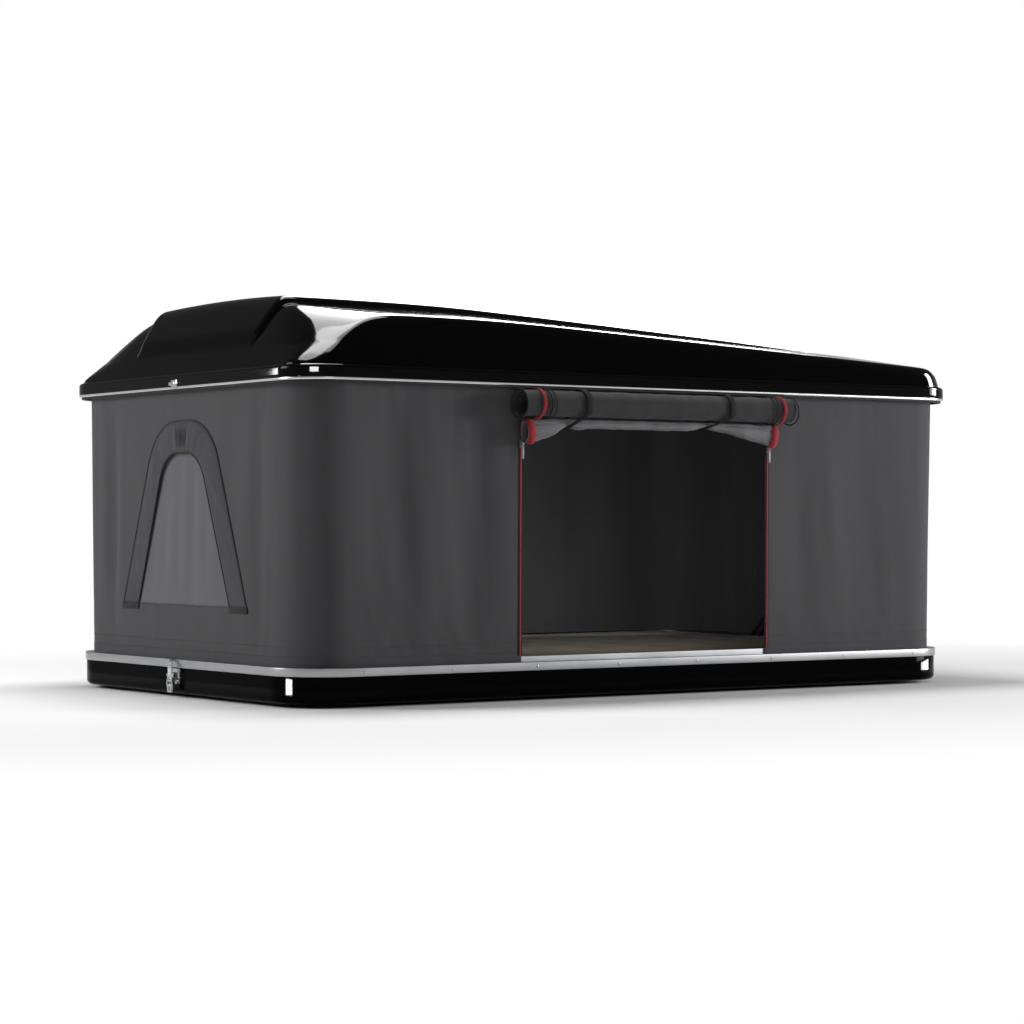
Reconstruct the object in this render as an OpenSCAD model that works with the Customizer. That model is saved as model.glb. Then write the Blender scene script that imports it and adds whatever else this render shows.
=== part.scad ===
// Hard-shell roof top tent, raised: a moulded base tray and a moulded roof joined by cloth walls
// and lifted by a pair of crossed arms at each end. Millimetres, +Z up, +X towards the thin end
// of the roof, -Y the door side, origin under the middle of the tray.

/* [Base tray] */
// Length over the lower rim
base_l = 2100; // [1950:10:2300]
// Width over the lower rim
base_w = 1258; // [1180:2:1400]
// Corner radius of the lower rim
base_r = 155; // [140:1:170]
// Height of the lower rim's top above the underside
base_h = 87; // [84:1:100]
// Height of the bright rim band
rim_h = 21; // [15:1:25]
// Thickness of the rim band and its web
rim_t = 3; // [2:0.5:4]
// Wall thickness of the tray
tray_t = 5; // [4:0.5:7]
// Rounding of the tray's bottom edge
tray_edge_r = 24; // [16:1:30]
// Height of the upstand that holds the cloth
track_h = 14; // [10:1:16]
// Thickness of the upstand
track_t = 3; // [2:0.5:4]
// Distance from the rim's outer face to the upstand
track_inset = 25.5; // [25:0.5:28]
// Distance between rim rivets
rivet_pitch = 251; // [200:1:300]
// Radius of a rivet head
rivet_r = 5; // [3:0.5:7]

/* [Underside rails] */
// Length of a mounting rail
rail_l = 1700; // [1400:10:1800]
// Width of a mounting rail
rail_w = 40; // [34:1:50]
// Height of a mounting rail
rail_h = 20; // [16:1:20]
// Wall of a mounting rail
rail_t = 3; // [2:0.5:4]
// Distance between the two rails
rail_gap = 680; // [600:10:800]
// Distance between the bolt slots along a rail
slot_gap = 900; // [700:10:1200]
// Radius of the bolt slots' round ends
slot_r = 4.5; // [4:0.5:5.5]
// Length of a bolt slot over its ends
slot_l = 80; // [40:5:120]

/* [Bed] */
// Thickness of the floor panel
floor_t = 8; // [6:1:10]
// Distance from the lower rim's ends to the bed, where the lift lies
bed_end = 100; // [100:2:120]
// Distance from the lower rim's sides to the bed
bed_side = 54; // [50:1:70]
// Thickness of the mattress at its middle
bed_t = 72; // [50:1:76]

/* [Roof] */
// Height of the cloth walls between the two rims, with the roof up
wall_h = 681; // [620:1:690]
// How far the roof's rim stands out past the lower rim at the ends
roof_over_l = 2; // [1:0.5:4]
// How far the roof's rim stands out past the lower rim at the sides
roof_over_w = 8; // [6:0.5:10]
// Corner radius of the roof's rim
roof_r = 118; // [110:1:130]
// Wall thickness of the roof
roof_t = 5; // [4:0.5:7]
// Height of the bright trim under the roof
trim_h = 7; // [5:1:10]
// Width of the trim's flat ring
trim_w = 24; // [22:0.5:24]
// Height of the roof's upright flange
flange_h = 25; // [22:1:30]
// Height of the rounded ledge above the flange
ledge_h = 6; // [4:1:8]
// Width of that ledge
ledge_w = 12; // [9:1:15]
// Height of the rubber seal
seal_h = 6; // [4:1:8]
// Width of the rubber seal
seal_w = 10; // [8:1:12]
// Height of the dome above the ledge at the tall end
dome_h = 168; // [140:1:190]
// Fall of the dome's top towards the thin end, per mm
dome_fall = 0.0548; // [0.03:0.001:0.06]
// Distance from the tall end to where the top starts to fall
dome_flat = 576; // [400:1:700]
// Half the width of the raised middle panel
panel_half = 325; // [280:5:360]
// Height of the raised middle panel
panel_rise = 16; // [8:1:22]
// Distance from the tall end to where the raised panel has faded out
panel_l = 1420; // [1200:10:1600]
// Height of the crown across the raised panel
crown = 8; // [0:1:14]
// Fall of the shoulders beside the raised panel, per mm
shoulder_fall = 0.19; // [0.1:0.01:0.24]
// Rise of the dome's side walls, per mm inwards
side_rise = 3.4; // [2:0.1:4]
// Rise of the tall end's face, per mm inwards
front_rise = 1.49; // [1.2:0.01:2]
// Rise of the thin end's face, per mm inwards
rear_rise = 2.2; // [1.5:0.1:3]
// Softness of the dome's edges
dome_blend = 14; // [8:1:20]

/* [Cloth] */
// Thickness of the wall cloth
cloth_t = 2.3; // [1.5:0.1:2.4]
// How far the walls are drawn in at mid height
wall_sag = 9; // [0:1:14]
// Depth of the upright folds
fold_depth = 5; // [0:1:8]
// Distance between the upright folds
fold_pitch = 290; // [250:10:360]
// Width of the door opening
door_w = 782; // [700:2:820]
// Middle of the door opening along the length
door_x = -19; // [-40:1:40]
// Height of the door opening above the rim
door_h = 610; // [560:5:612]
// Corner radius of the door opening
door_r = 60; // [40:5:80]
// Width of the zip tapes
zip_w = 10; // [6:1:14]
// Diameter of the rolled-up door
roll_d = 72; // [60:1:80]
// How far the rolled-up door reaches past the opening at each side
roll_over = 76.5; // [60:0.5:90]
// Thickness of the rolled cloth
roll_t = 4; // [3:0.5:4.5]

/* [Window] */
// Half the width of the hood at its foot
hood_half = 330; // [300:5:350]
// Height of the hood's foot above the rim
hood_z = 131; // [110:1:150]
// Height of the hood
hood_h = 471; // [440:1:490]
// Half the width of the net at its foot
net_half = 243; // [220:1:250]
// Height of the net
net_h = 386; // [360:1:400]
// Lean of the window's sides, per mm of height
window_lean = 0.392; // [0.36:0.001:0.42]
// Radius of the window's upper corners
window_r = 70; // [50:5:90]
// How far the hood's inner edge stands off the wall
hood_out = 13; // [6:1:20]

/* [Lift] */
// Distance of the lift nuts past the middle with the roof up, away from the door
nut_open = 207; // [204:1:209]
// Height of an arm's section
arm_h = 32; // [26:1:34]
// Thickness of an arm
arm_t = 12; // [10:1:12]
// Gap between the crossed arms
arm_gap = 4; // [4:0.5:5]
// Distance of the fixed pivots from the lower rim's door side
pivot_side = 107; // [103:1:112]
// Height of the lower pivots
pivot_z = 48; // [46:1:50]
// Height of the upper pivots above the trim's underside
roof_pivot = 22; // [21:0.5:23]
// Radius of the arms' pivot pins
pin_r = 6; // [4:0.5:7]
// Radius of the lift screws
screw_r = 8; // [6:0.5:9]
// Radius of the long drive shaft
shaft_r = 5; // [4:0.5:6]
// Radial clearance of a turning fit
run_gap = 0.05; // [0.03:0.01:0.08]

/* [Latch] */
// Width of a latch
latch_w = 40; // [36:1:46]
// Radius of the latch's lever pin
latch_pin_r = 2.5; // [2:0.25:3]
// Width of the claw
claw_w = 18; // [14:1:19]
// Thickness of the claw's strap
claw_t = 4; // [3:0.5:4]
// Width of the keeper on the roof
keeper_w = 30; // [24:1:36]

/* [Hidden] */
$fn = 64;
soft_gap = 0.3;

// Heights
track_top = base_h + track_h;
trim_z = base_h + wall_h;
flange_z = trim_z + trim_h;
ledge_z = flange_z + flange_h + ledge_h;
close_gap = 0.5;
lift = wall_h - seal_h - close_gap;
floor_z = rail_h + tray_t;
bed_z = floor_z + floor_t;

// Outlines
roof_l = base_l + 2 * roof_over_l;
roof_w = base_w + 2 * roof_over_w;
bed_l = base_l - 2 * bed_end;
bed_w = base_w - 2 * bed_side;

// Tray
tray_l = base_l - 2 * rim_t;
tray_w = base_w - 2 * rim_t;
tray_r = base_r - rim_t;
tray_top = base_h - rim_t;
tray_inner_edge_r = 8;
tray_floor_t = tray_t;

// Lift
arm_clear = 47.5;
arm_a_x = base_l / 2 - arm_clear - arm_t;
arm_b_x = arm_a_x - arm_gap - arm_t;
roof_pivot_z = trim_z + roof_pivot;
pivot_y = base_w / 2 - pivot_side;
slide_y = nut_open;
arm_rise = roof_pivot_z - pivot_z;
arm_l = norm([pivot_y + slide_y, arm_rise]);
open_angle = asin(arm_rise / arm_l);
closed_angle = asin((arm_rise - lift) / arm_l);
slide_far_y = arm_l * cos(closed_angle) - pivot_y;
glide_r = 8;
glide_pin_r = 4;
screw_x = arm_a_x + 18;
nut_l = 24;
nut_w = 30;
nut_x = arm_a_x + 3;
gearbox_l = 40;
gearbox_y1 = slide_y - nut_l / 2 - 2.5;
gearbox_x = arm_a_x - arm_gap / 2;
gearbox_w = 40;
gearbox_top = pivot_z + 20;
shaft_y = gearbox_y1 - gearbox_l / 2;
shaft_z = (tray_floor_t + floor_z) / 2;
shaft_bite = 15;
bearing_l = 9;
bearing_y = slide_far_y + nut_l / 2 + 2;
rail_x = arm_a_x + arm_t + 2;
channel_t = 3;

// Window and door
track_gap = 0.7;
wall_x = base_l / 2 - track_inset + track_gap + cloth_t;
wall_y = base_w / 2 - track_inset + track_gap + cloth_t;
wall_r = base_r - track_inset + track_gap + cloth_t;
wall_top_y = roof_w / 2 - trim_w - 1.5;
wall_top_r = roof_r - trim_w - 0.5;
wall_z = base_h + soft_gap;
wall_top_z = trim_z + trim_h / 2;
door_top = base_h + door_h;
roll_l = door_w + 2 * roll_over;
flat_half = roll_l / 2 + 60;
strap_t = 2.5;
strap_w = 25;
roll_y = -wall_top_y - roll_d / 2 - strap_t - 2 * soft_gap;
roll_z = trim_z - seal_h - soft_gap - roll_d / 2;
roll_zip_t = 1.5;
net_roll_top = roll_z - roll_d / 2 - roll_zip_t / 2 - soft_gap;
net_roll_mid_d = 23;
net_roll_end_d = 64;
strap_xs = [door_x - 0.256 * roll_l, door_x + 0.234 * roll_l];

// Shared shapes
// Pieces at the ends are drawn at the thin end and mirrored to the tall end
module at_front() {
    mirror([1, 0, 0]) children();
}

// A rectangle with round corners, centred
module round_rect(l, w, r) {
    square([l - 2 * r, w], center = true);
    square([l, w - 2 * r], center = true);
    for (x = [-1, 1], y = [-1, 1])
        translate([x * (l / 2 - r), y * (w / 2 - r)]) circle(r);
}

// A flat ring between two insets of a round-cornered outline
module ring(l, w, r, inset, width, h) {
    linear_extrude(h) difference() {
        round_rect(l - 2 * inset, w - 2 * inset, r - inset);
        round_rect(l - 2 * (inset + width), w - 2 * (inset + width), r - inset - width);
    }
}

// A bar with round ends from the origin along the first axis
module slot_2d(l, w) {
    translate([0, -w / 2]) square([l, w]);
    circle(w / 2);
    translate([l, 0]) circle(w / 2);
}

// A block given by its low and high corners
module block(low, high) {
    translate(low) cube(high - low);
}

// A cylinder along X between two places
module rod_x(x0, x1, y, z, r) {
    translate([x0, y, z]) rotate([0, 90, 0]) cylinder(r = r, h = x1 - x0);
}

// A cylinder along Y between two places
module rod_y(x, y0, y1, z, r) {
    translate([x, y0, z]) rotate([-90, 0, 0]) cylinder(r = r, h = y1 - y0);
}

// An outline in the XZ plane given a width along Y
module across(w) {
    rotate([90, 0, 0]) linear_extrude(w, center = true) children();
}

// Triangles for a closed strip between two loops of n points
function strip(a, b, n) = [for (i = [0:n - 1]) let (j = (i + 1) % n)
    each [[a + i, a + j, b + j], [a + i, b + j, b + i]]];

// Triangles for an open strip between two rows of n points
function open_strip(a, b, n) = [for (i = [0:n - 2])
    each [[a + i, a + i + 1, b + i + 1], [a + i, b + i + 1, b + i]]];

// Triangles from a middle point to a closed loop
function fan(c, a, n) = [for (i = [0:n - 1]) [c, a + i, a + (i + 1) % n]];

function flipped(faces) = [for (f = faces) [f[2], f[1], f[0]]];

// Points round a rectangle with round corners, anticlockwise, as [x, y, along]
function corner_points(cx, cy, r, a0, n) = [for (i = [0:n])
    [cx + r * cos(a0 + 90 * i / n), cy + r * sin(a0 + 90 * i / n)]];
function edge_points(a, b, n) = [for (i = [1:n - 1]) a + (b - a) * i / n];
function loop_points(hx, hy, r, n_long, n_short, n_corner) = let (
        c1 = corner_points(hx - r, hy - r, r, 0, n_corner),
        c2 = corner_points(r - hx, hy - r, r, 90, n_corner),
        c3 = corner_points(r - hx, r - hy, r, 180, n_corner),
        c4 = corner_points(hx - r, r - hy, r, 270, n_corner))
    concat(c1, edge_points(c1[n_corner], c2[0], n_long), c2,
        edge_points(c2[n_corner], c3[0], n_short), c3,
        edge_points(c3[n_corner], c4[0], n_long), c4,
        edge_points(c4[n_corner], c1[0], n_short));

function clamped(v, low, high) = min(max(v, low), high);
function eased(v, low, high) = let (t = clamped((v - low) / (high - low), 0, 1)) t * t * (3 - 2 * t);

// Base
// A closed tray blank with a rounded bottom edge
module tray_blank(l, w, r, edge_r, z0, z1) {
    hull() for (x = [-1, 1], y = [-1, 1])
        translate([x * (l / 2 - r), y * (w / 2 - r), z0]) {
            translate([0, 0, edge_r]) cylinder(r = r, h = z1 - z0 - edge_r, $fn = 48);
            translate([0, 0, edge_r]) rotate_extrude($fn = 48)
                translate([r - edge_r, 0]) circle(edge_r, $fn = 32);
        }
}

module lower_shell() {
    groove_gap = 0.5;
    bush_hole_r = screw_r + 3.1;
    color([0.06, 0.06, 0.065]) difference() {
        union() {
            difference() {
                tray_blank(tray_l, tray_w, tray_r, tray_edge_r, 0, tray_top);
                tray_blank(tray_l - 2 * tray_t, tray_w - 2 * tray_t, tray_r - tray_t,
                    tray_inner_edge_r, tray_floor_t, tray_top + tray_edge_r);
            }
            for (s = [-1, 1])
                translate([0, s * rail_gap / 2, floor_z / 2 + 0.5])
                    cube([rail_l + 2 * tray_t, rail_w + 2 * tray_t, floor_z - 1], center = true);
        }
        for (s = [-1, 1])
            translate([0, s * rail_gap / 2, rail_h / 2 - 1])
                cube([rail_l + 2 * groove_gap, rail_w + 2 * groove_gap, rail_h + 2], center = true);
        rod_x(tray_l / 2 - 3 * tray_t, tray_l / 2 + tray_t, shaft_y, pivot_z, bush_hole_r);
    }
}

module lower_rim() {
    color([0.75, 0.76, 0.77]) {
        translate([0, 0, base_h - rim_h])
            ring(base_l, base_w, base_r, 0, rim_t, rim_h);
        translate([0, 0, base_h - rim_t])
            ring(base_l, base_w, base_r, rim_t / 2, track_inset + track_t - rim_t / 2, rim_t);
    }
}

module wall_track() {
    color([0.8, 0.81, 0.82]) translate([0, 0, base_h])
        ring(base_l, base_w, base_r, track_inset, track_t, track_h);
}

module rim_rivets() {
    head_h = 2.5;
    rivet_z = base_h - rim_h / 2;
    count = floor((base_l - 2 * base_r) / rivet_pitch / 2 + 0.5);
    color([0.7, 0.71, 0.72]) for (s = [-1, 1], i = [0:2 * count - 1])
        translate([(i - count + 0.5) * rivet_pitch, s * base_w / 2, rivet_z])
            rotate([-s * 90, 0, 0]) cylinder(r1 = rivet_r, r2 = rivet_r * 0.6, h = head_h);
}

module mount_rail(s) {
    inner_w = rail_w - 2 * rail_t;
    translate([0, s * rail_gap / 2, 0]) difference() {
        translate([-rail_l / 2, -rail_w / 2, 0]) cube([rail_l, rail_w, rail_h]);
        translate([-rail_l / 2 - 1, -inner_w / 2, rail_t])
            cube([rail_l + 2, inner_w, rail_h - 2 * rail_t]);
        for (x = [-1, 1])
            translate([x * slot_gap / 2 - slot_l / 2 + slot_r, 0, -1])
                linear_extrude(rail_t + 2) slot_2d(slot_l - 2 * slot_r, 2 * slot_r);
    }
}

module near_mount_rail() {
    color([0.7, 0.71, 0.72]) mount_rail(-1);
}

module far_mount_rail() {
    color([0.7, 0.71, 0.72]) mount_rail(1);
}

module floor_panel() {
    panel_r = 40;
    color([0.45, 0.42, 0.38]) translate([0, 0, floor_z]) linear_extrude(floor_t)
        round_rect(bed_l, bed_w, panel_r);
}

// A padded slab with a crown and drawn-in sides
module mattress() {
    bed_r = 60;
    crown_h = 4;
    edge_h = bed_t - crown_h;
    piping = 3;
    // Each ring is an inset from the outline and a height
    rings = [[10, 0], [piping / 2, 6], [0, 12], [piping, edge_h / 2], [0, edge_h - 12],
        [piping / 2, edge_h - 6], [10, edge_h], [60, bed_t - crown_h / 2], [240, bed_t]];
    n_long = 12;
    n_short = 8;
    n_corner = 4;
    n = 2 * (n_long - 1) + 2 * (n_short - 1) + 4 * (n_corner + 1);
    points = [for (q = rings) let (r = max(bed_r - q[0], 8))
        each [for (p = loop_points(bed_l / 2 - q[0], bed_w / 2 - q[0], r, n_long, n_short, n_corner))
            [p[0], p[1], bed_z + soft_gap / 3 + q[1]]]];
    last = len(rings) - 1;
    middle = [[0, 0, bed_z + soft_gap / 3], [0, 0, bed_z + soft_gap / 3 + bed_t]];
    faces = concat([for (i = [0:last - 1]) each strip(i * n, (i + 1) * n, n)],
        flipped(fan(len(points), 0, n)), fan(len(points) + 1, last * n, n));
    color([0.43, 0.39, 0.34]) polyhedron(concat(points, middle), flipped(faces));
}

// Cloth
// Outline of a wall at a share t of its height, drawn in and folded between its edges
wall_n_long = 22;
wall_n_short = 10;
wall_n_corner = 8;
wall_n = 2 * (wall_n_long - 1) + 2 * (wall_n_short - 1) + 4 * (wall_n_corner + 1);
wall_foot = (track_top + 2 - wall_z) / (wall_top_z - wall_z);
wall_levels = [0, wall_foot, 0.2, 0.5, 0.8, 1];

// Share of the folds at a place: none beside the door, round the windows or at the corners
door_ease = 130;
hood_edge = 10;
hood_ease = 100;
corner_flat = 60;
corner_ease = 140;
function wall_loose(p) = abs(p[1]) > wall_y - wall_r
    ? eased(abs(p[0] - door_x), flat_half, flat_half + door_ease)
        * eased(abs(p[0]), wall_x - corner_flat, wall_x - corner_flat - corner_ease)
    : eased(abs(p[1]), hood_half + hood_edge, hood_half + hood_edge + hood_ease);
function wall_in(p, t) = wall_loose(p) * sin(180 * max(0, t - wall_foot) / (1 - wall_foot))
    * (wall_sag + fold_depth * cos(360 * (p[0] + 2 * p[1]) / fold_pitch));
function wall_loop(t, inset) = [for (p = loop_points(wall_x - inset,
        wall_y + (wall_top_y - wall_y) * t - inset, wall_r + (wall_top_r - wall_r) * t - inset,
        wall_n_long, wall_n_short, wall_n_corner))
    let (d = norm(p)) [each p * (1 - wall_in(p, t) / d), wall_z + t * (wall_top_z - wall_z)]];

module wall_blank() {
    rows = len(wall_levels);
    points = concat([for (t = wall_levels) each wall_loop(t, 0)],
        [for (t = wall_levels) each wall_loop(t, cloth_t)]);
    inner = rows * wall_n;
    faces = concat(
        [for (i = [0:rows - 2]) each strip(i * wall_n, (i + 1) * wall_n, wall_n)],
        [for (i = [0:rows - 2]) each flipped(strip(inner + i * wall_n, inner + (i + 1) * wall_n, wall_n))],
        strip(inner, 0, wall_n),
        strip((rows - 1) * wall_n, inner + (rows - 1) * wall_n, wall_n));
    polyhedron(points, flipped(faces));
}

// The door's outline, in length and height
module door_2d(grow) {
    w = door_w + 2 * grow;
    z0 = base_h - 20;
    top = door_top + grow;
    translate([door_x - w / 2, z0]) square([w, top - door_r - z0]);
    translate([door_x - w / 2 + door_r, z0]) square([w - 2 * door_r, top - z0]);
    for (s = [-1, 1])
        translate([door_x + s * (w / 2 - door_r), top - door_r]) circle(door_r);
}

// Points of a window outline from its left foot over the top to its right foot
window_n_side = 8;
window_n_corner = 6;
window_n_top = 8;
function window_half(half, h, r) = let (slope = atan(window_lean), cz = h - r,
        cx = half - window_lean * cz - r / cos(slope))
    concat([for (i = [0:window_n_side - 1]) let (z = (cz + r * sin(slope)) * i / window_n_side)
            [half - window_lean * z, z]],
        [for (i = [0:window_n_corner]) let (a = slope + (90 - slope) * i / window_n_corner)
            [cx + r * cos(a), cz + r * sin(a)]],
        [for (i = [1:window_n_top]) [cx * (1 - i / window_n_top), h]]);
function window_points(half, h, r) = let (right = window_half(half, h, r), n = len(right))
    concat(right, [for (i = [n - 2:-1:0]) [-right[i][0], right[i][1]]]);
window_count = 2 * (window_n_side + window_n_corner + window_n_top) + 1;
window_z = base_h + hood_z + 4;

module net_2d(grow) {
    translate([0, window_z - grow]) polygon(window_points(net_half + grow, net_h + 2 * grow, window_r));
}

module wall_canvas() {
    deep = 60;
    color([0.28, 0.28, 0.29]) difference() {
        wall_blank();
        rotate([90, 0, 0]) linear_extrude(2 * (wall_top_y + deep), center = true) door_2d(0);
        rotate([90, 0, 90]) linear_extrude(2 * (wall_x + deep), center = true) net_2d(0);
    }
}

module window_net() {
    net_t = 1.5;
    edge_gap = 0.2;
    translate([wall_x - cloth_t / 2 - net_t / 2, 0, 0]) rotate([90, 0, 90])
        linear_extrude(net_t) net_2d(-edge_gap);
}

module front_window_net() {
    color([0.42, 0.42, 0.44]) at_front() window_net();
}

module rear_window_net() {
    color([0.42, 0.42, 0.44]) window_net();
}

// A gathered band round the window whose inner edge stands off the wall
module window_hood() {
    hood_t = 1.5;
    pleat = 2;
    pleats = 13;
    outer = window_points(hood_half, hood_h, window_r + 10);
    inner = window_points(net_half, net_h, window_r);
    n = window_count;
    rows = [0, 0.5, 1];
    function lift_off(s, i) = soft_gap + (hood_out - 1) * s * sin(180 * i / (n - 1))
        + pleat * sin(180 * s) * (1 + cos(360 * pleats * i / (n - 1))) / 2;
    function row(s, t) = [for (i = [0:n - 1]) let (p = outer[i] * (1 - s) + (inner[i] + [0, 4]) * s)
        [wall_x + lift_off(s, i) + t, p[0], base_h + hood_z + p[1]]];
    points = concat([for (s = rows) each row(s, 0)], [for (s = rows) each row(s, hood_t)]);
    k = len(rows) * n;
    last = k - n;
    ends = [for (e = [0, n - 1], r = [0:len(rows) - 2]) let (a = e + r * n, b = e + (r + 1) * n)
        each e == 0 ? [[a, b, k + b], [a, k + b, k + a]] : [[b, a, k + b], [a, k + a, k + b]]];
    faces = concat([for (r = [0:len(rows) - 2]) each open_strip(r * n, (r + 1) * n, n)],
        flipped([for (r = [0:len(rows) - 2]) each open_strip(k + r * n, k + (r + 1) * n, n)]),
        open_strip(k, 0, n), open_strip(last, k + last, n), ends);
    polyhedron(points, flipped(faces));
}

module front_window_hood() {
    color([0.3, 0.3, 0.31]) at_front() window_hood();
}

module rear_window_hood() {
    color([0.3, 0.3, 0.31]) window_hood();
}

// Two upright zip tapes on one long side
zip_t = 2;
zip_z0 = track_top + 2;
zip_z1 = door_top - door_r;
function wall_face_y(z) = wall_y + (wall_top_y - wall_y) * (z - wall_z) / (wall_top_z - wall_z);
zip_lean = atan((wall_top_y - wall_y) / (wall_top_z - wall_z));

module zip_tapes(s) {
    for (e = [-1, 1])
        translate([door_x + e * (door_w / 2 + zip_w / 2), s * (wall_face_y(zip_z0) + soft_gap), zip_z0])
            rotate([-s * zip_lean, 0, 0])
                translate([-zip_w / 2, s > 0 ? 0 : -zip_t, 0]) cube([zip_w, zip_t, zip_z1 - zip_z0]);
}

module near_zip_tapes() {
    color([0.75, 0.18, 0.2]) zip_tapes(-1);
}

module far_zip_tapes() {
    color([0.75, 0.18, 0.2]) zip_tapes(1);
}

// The closed door panel on the far side, in the wall's plane
module far_door() {
    edge_gap = 0.4;
    color([0.27, 0.27, 0.28]) intersection() {
        rotate([90, 0, 0]) mirror([0, 0, 1])
            linear_extrude(wall_top_y + 20) intersection() {
                door_2d(-edge_gap);
                translate([-base_l / 2, wall_z]) square([base_l, wall_h]);
            }
        translate([0, wall_y, wall_z]) rotate([-zip_lean, 0, 0])
            translate([-base_l / 2, -cloth_t, -20]) cube([base_l, cloth_t, wall_h]);
    }
}

module zip_sliders() {
    body_w = 12;
    body_h = 22;
    body_t = 5;
    pull_w = 7;
    pull_h = 42;
    pull_t = 2;
    slider_drop = 102;
    slider_z = door_top - slider_drop;
    color([0.8, 0.8, 0.82]) for (e = [-1, 1])
        translate([door_x + e * (door_w / 2 + zip_w / 2),
                -wall_face_y(slider_z) - zip_t - 2 * soft_gap, slider_z]) {
            translate([-body_w / 2, -body_t, 0]) cube([body_w, body_t, body_h]);
            difference() {
                translate([-pull_w / 2, -body_t - pull_t, body_h / 2 - pull_h])
                    cube([pull_w, pull_t, pull_h]);
                rod_y(0, -body_t - pull_t - 1, -body_t + 1, body_h / 2 - pull_h + 5, 2);
            }
        }
}

// The door rolled up under the roof, as one spiral of cloth
module door_roll() {
    turn_gap = 1;
    core_r = 8;
    pitch = roll_t + turn_gap;
    turns = (roll_d / 2 - core_r - roll_t) / pitch;
    steps = ceil(turns * 24);
    function spiral(r, i) = let (a = 360 * turns * i / steps, q = r + pitch * turns * i / steps)
        [q * cos(a), q * sin(a)];
    color([0.25, 0.25, 0.26]) translate([door_x - roll_l / 2 + 21, roll_y, roll_z])
        rotate([90, 0, 90]) linear_extrude(roll_l) rotate(270 - 360 * turns)
            polygon(concat([for (i = [0:steps]) spiral(core_r, i)],
                [for (i = [steps:-1:0]) spiral(core_r + roll_t, i)]));
}

// The rolled net below it, thin between the straps and drooping at its ends
function net_roll_d(x) = net_roll_mid_d + (net_roll_end_d - net_roll_mid_d)
    * eased(abs(x - door_x), 0.45 * roll_l / 2, 0.94 * roll_l / 2);
net_roll_y = roll_y + 10;

module net_roll() {
    rings = 27;
    sides = 14;
    half = 0.94 * roll_l / 2;
    points = [for (i = [0:rings - 1])
        let (x = door_x - half + 2 * half * i / (rings - 1), d = net_roll_d(x))
        each [for (k = [0:sides - 1]) let (a = 360 * k / sides)
            [x, net_roll_y + (net_roll_mid_d / 2 + d / 8) * cos(a),
                net_roll_top - d / 2 + d / 2 * sin(a)]]];
    last = (rings - 1) * sides;
    faces = concat([for (i = [0:rings - 2]) each strip(i * sides, (i + 1) * sides, sides)],
        [for (k = [1:sides - 2]) [0, k + 1, k]], [for (k = [1:sides - 2]) [last, last + k, last + k + 1]]);
    color([0.4, 0.4, 0.42]) polyhedron(points, flipped(faces));
}

// Two straps round both rolls
module roll_straps() {
    module loop_2d(grow) {
        hull() {
            translate([roll_y, roll_z]) circle(roll_d / 2 + grow, $fn = 32);
            translate([net_roll_y, net_roll_top - net_roll_mid_d / 2])
                circle(net_roll_mid_d / 2 + 6 + grow, $fn = 32);
        }
    }
    color([0.1, 0.1, 0.1]) for (x = strap_xs)
        translate([x - strap_w / 2, 0, 0]) rotate([90, 0, 90]) linear_extrude(strap_w) difference() {
            loop_2d(soft_gap + strap_t);
            loop_2d(soft_gap);
        }
}

// Zip tape that shows as a ring round each end of the rolled door
module roll_zips() {
    color([0.75, 0.18, 0.2]) for (e = [-1, 1])
        translate([door_x + 10 + e * (door_w / 2 - 6), roll_y, roll_z])
            rotate([0, 90, 0]) linear_extrude(zip_w, center = true) difference() {
                circle(roll_d / 2 + soft_gap + roll_zip_t);
                circle(roll_d / 2 + soft_gap);
            }
}

// Roof
// Distance of a point inside a round-cornered outline
function inset_of(x, y, hx, hy, r) = let (qx = abs(x) - hx + r, qy = abs(y) - hy + r)
    r - norm([max(qx, 0), max(qy, 0)]) - min(max(qx, qy), 0);

dome_hx = roof_l / 2 - ledge_w;
dome_hy = roof_w / 2 - ledge_w;
dome_r = roof_r - ledge_w;
hip_angle = 38;
hip_lean = 1.38;
hip_out = 48;
hip_reach = (dome_hx - dome_r) * cos(hip_angle) + (dome_hy - dome_r) * sin(hip_angle) + dome_r + hip_out;
fall_round = 150;

// Height of the dome's top before its edges, falling towards the thin end
function top_fall(x) = let (u = x + dome_hx - dome_flat) dome_fall * (u + norm([u, fall_round])) / 2;
function top_height(x, y) = dome_h - top_fall(x) + crown * max(0, 1 - pow(y / panel_half, 2))
    - shoulder_fall * max(0, abs(y) - panel_half);

// Soft minimum, hard where the dome meets its ledge
function soft_min(v) = let (m = min(v), k = dome_blend * clamped(m / 60, 0.001, 1))
    m - k * ln([for (q = v) exp((m - q) / k)] * [for (q = v) 1]);

function dome_base(x, y) = soft_min([
    side_rise * inset_of(x, y, dome_hx, dome_hy, dome_r),
    front_rise * (x + dome_hx),
    rear_rise * (dome_hx - x),
    (hip_reach + x * cos(hip_angle) - abs(y) * sin(hip_angle)) / hip_lean,
    top_height(x, y)]);
panel_edge = 10;
panel_foot = 118;
function dome_height(x, y) = let (b = dome_base(x, y)) b + panel_rise
    * eased(abs(y), panel_half + panel_edge, panel_half - panel_edge)
    * eased(x + dome_hx, panel_l, panel_l - 170)
    * eased(b, panel_foot, panel_foot + 20);

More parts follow.
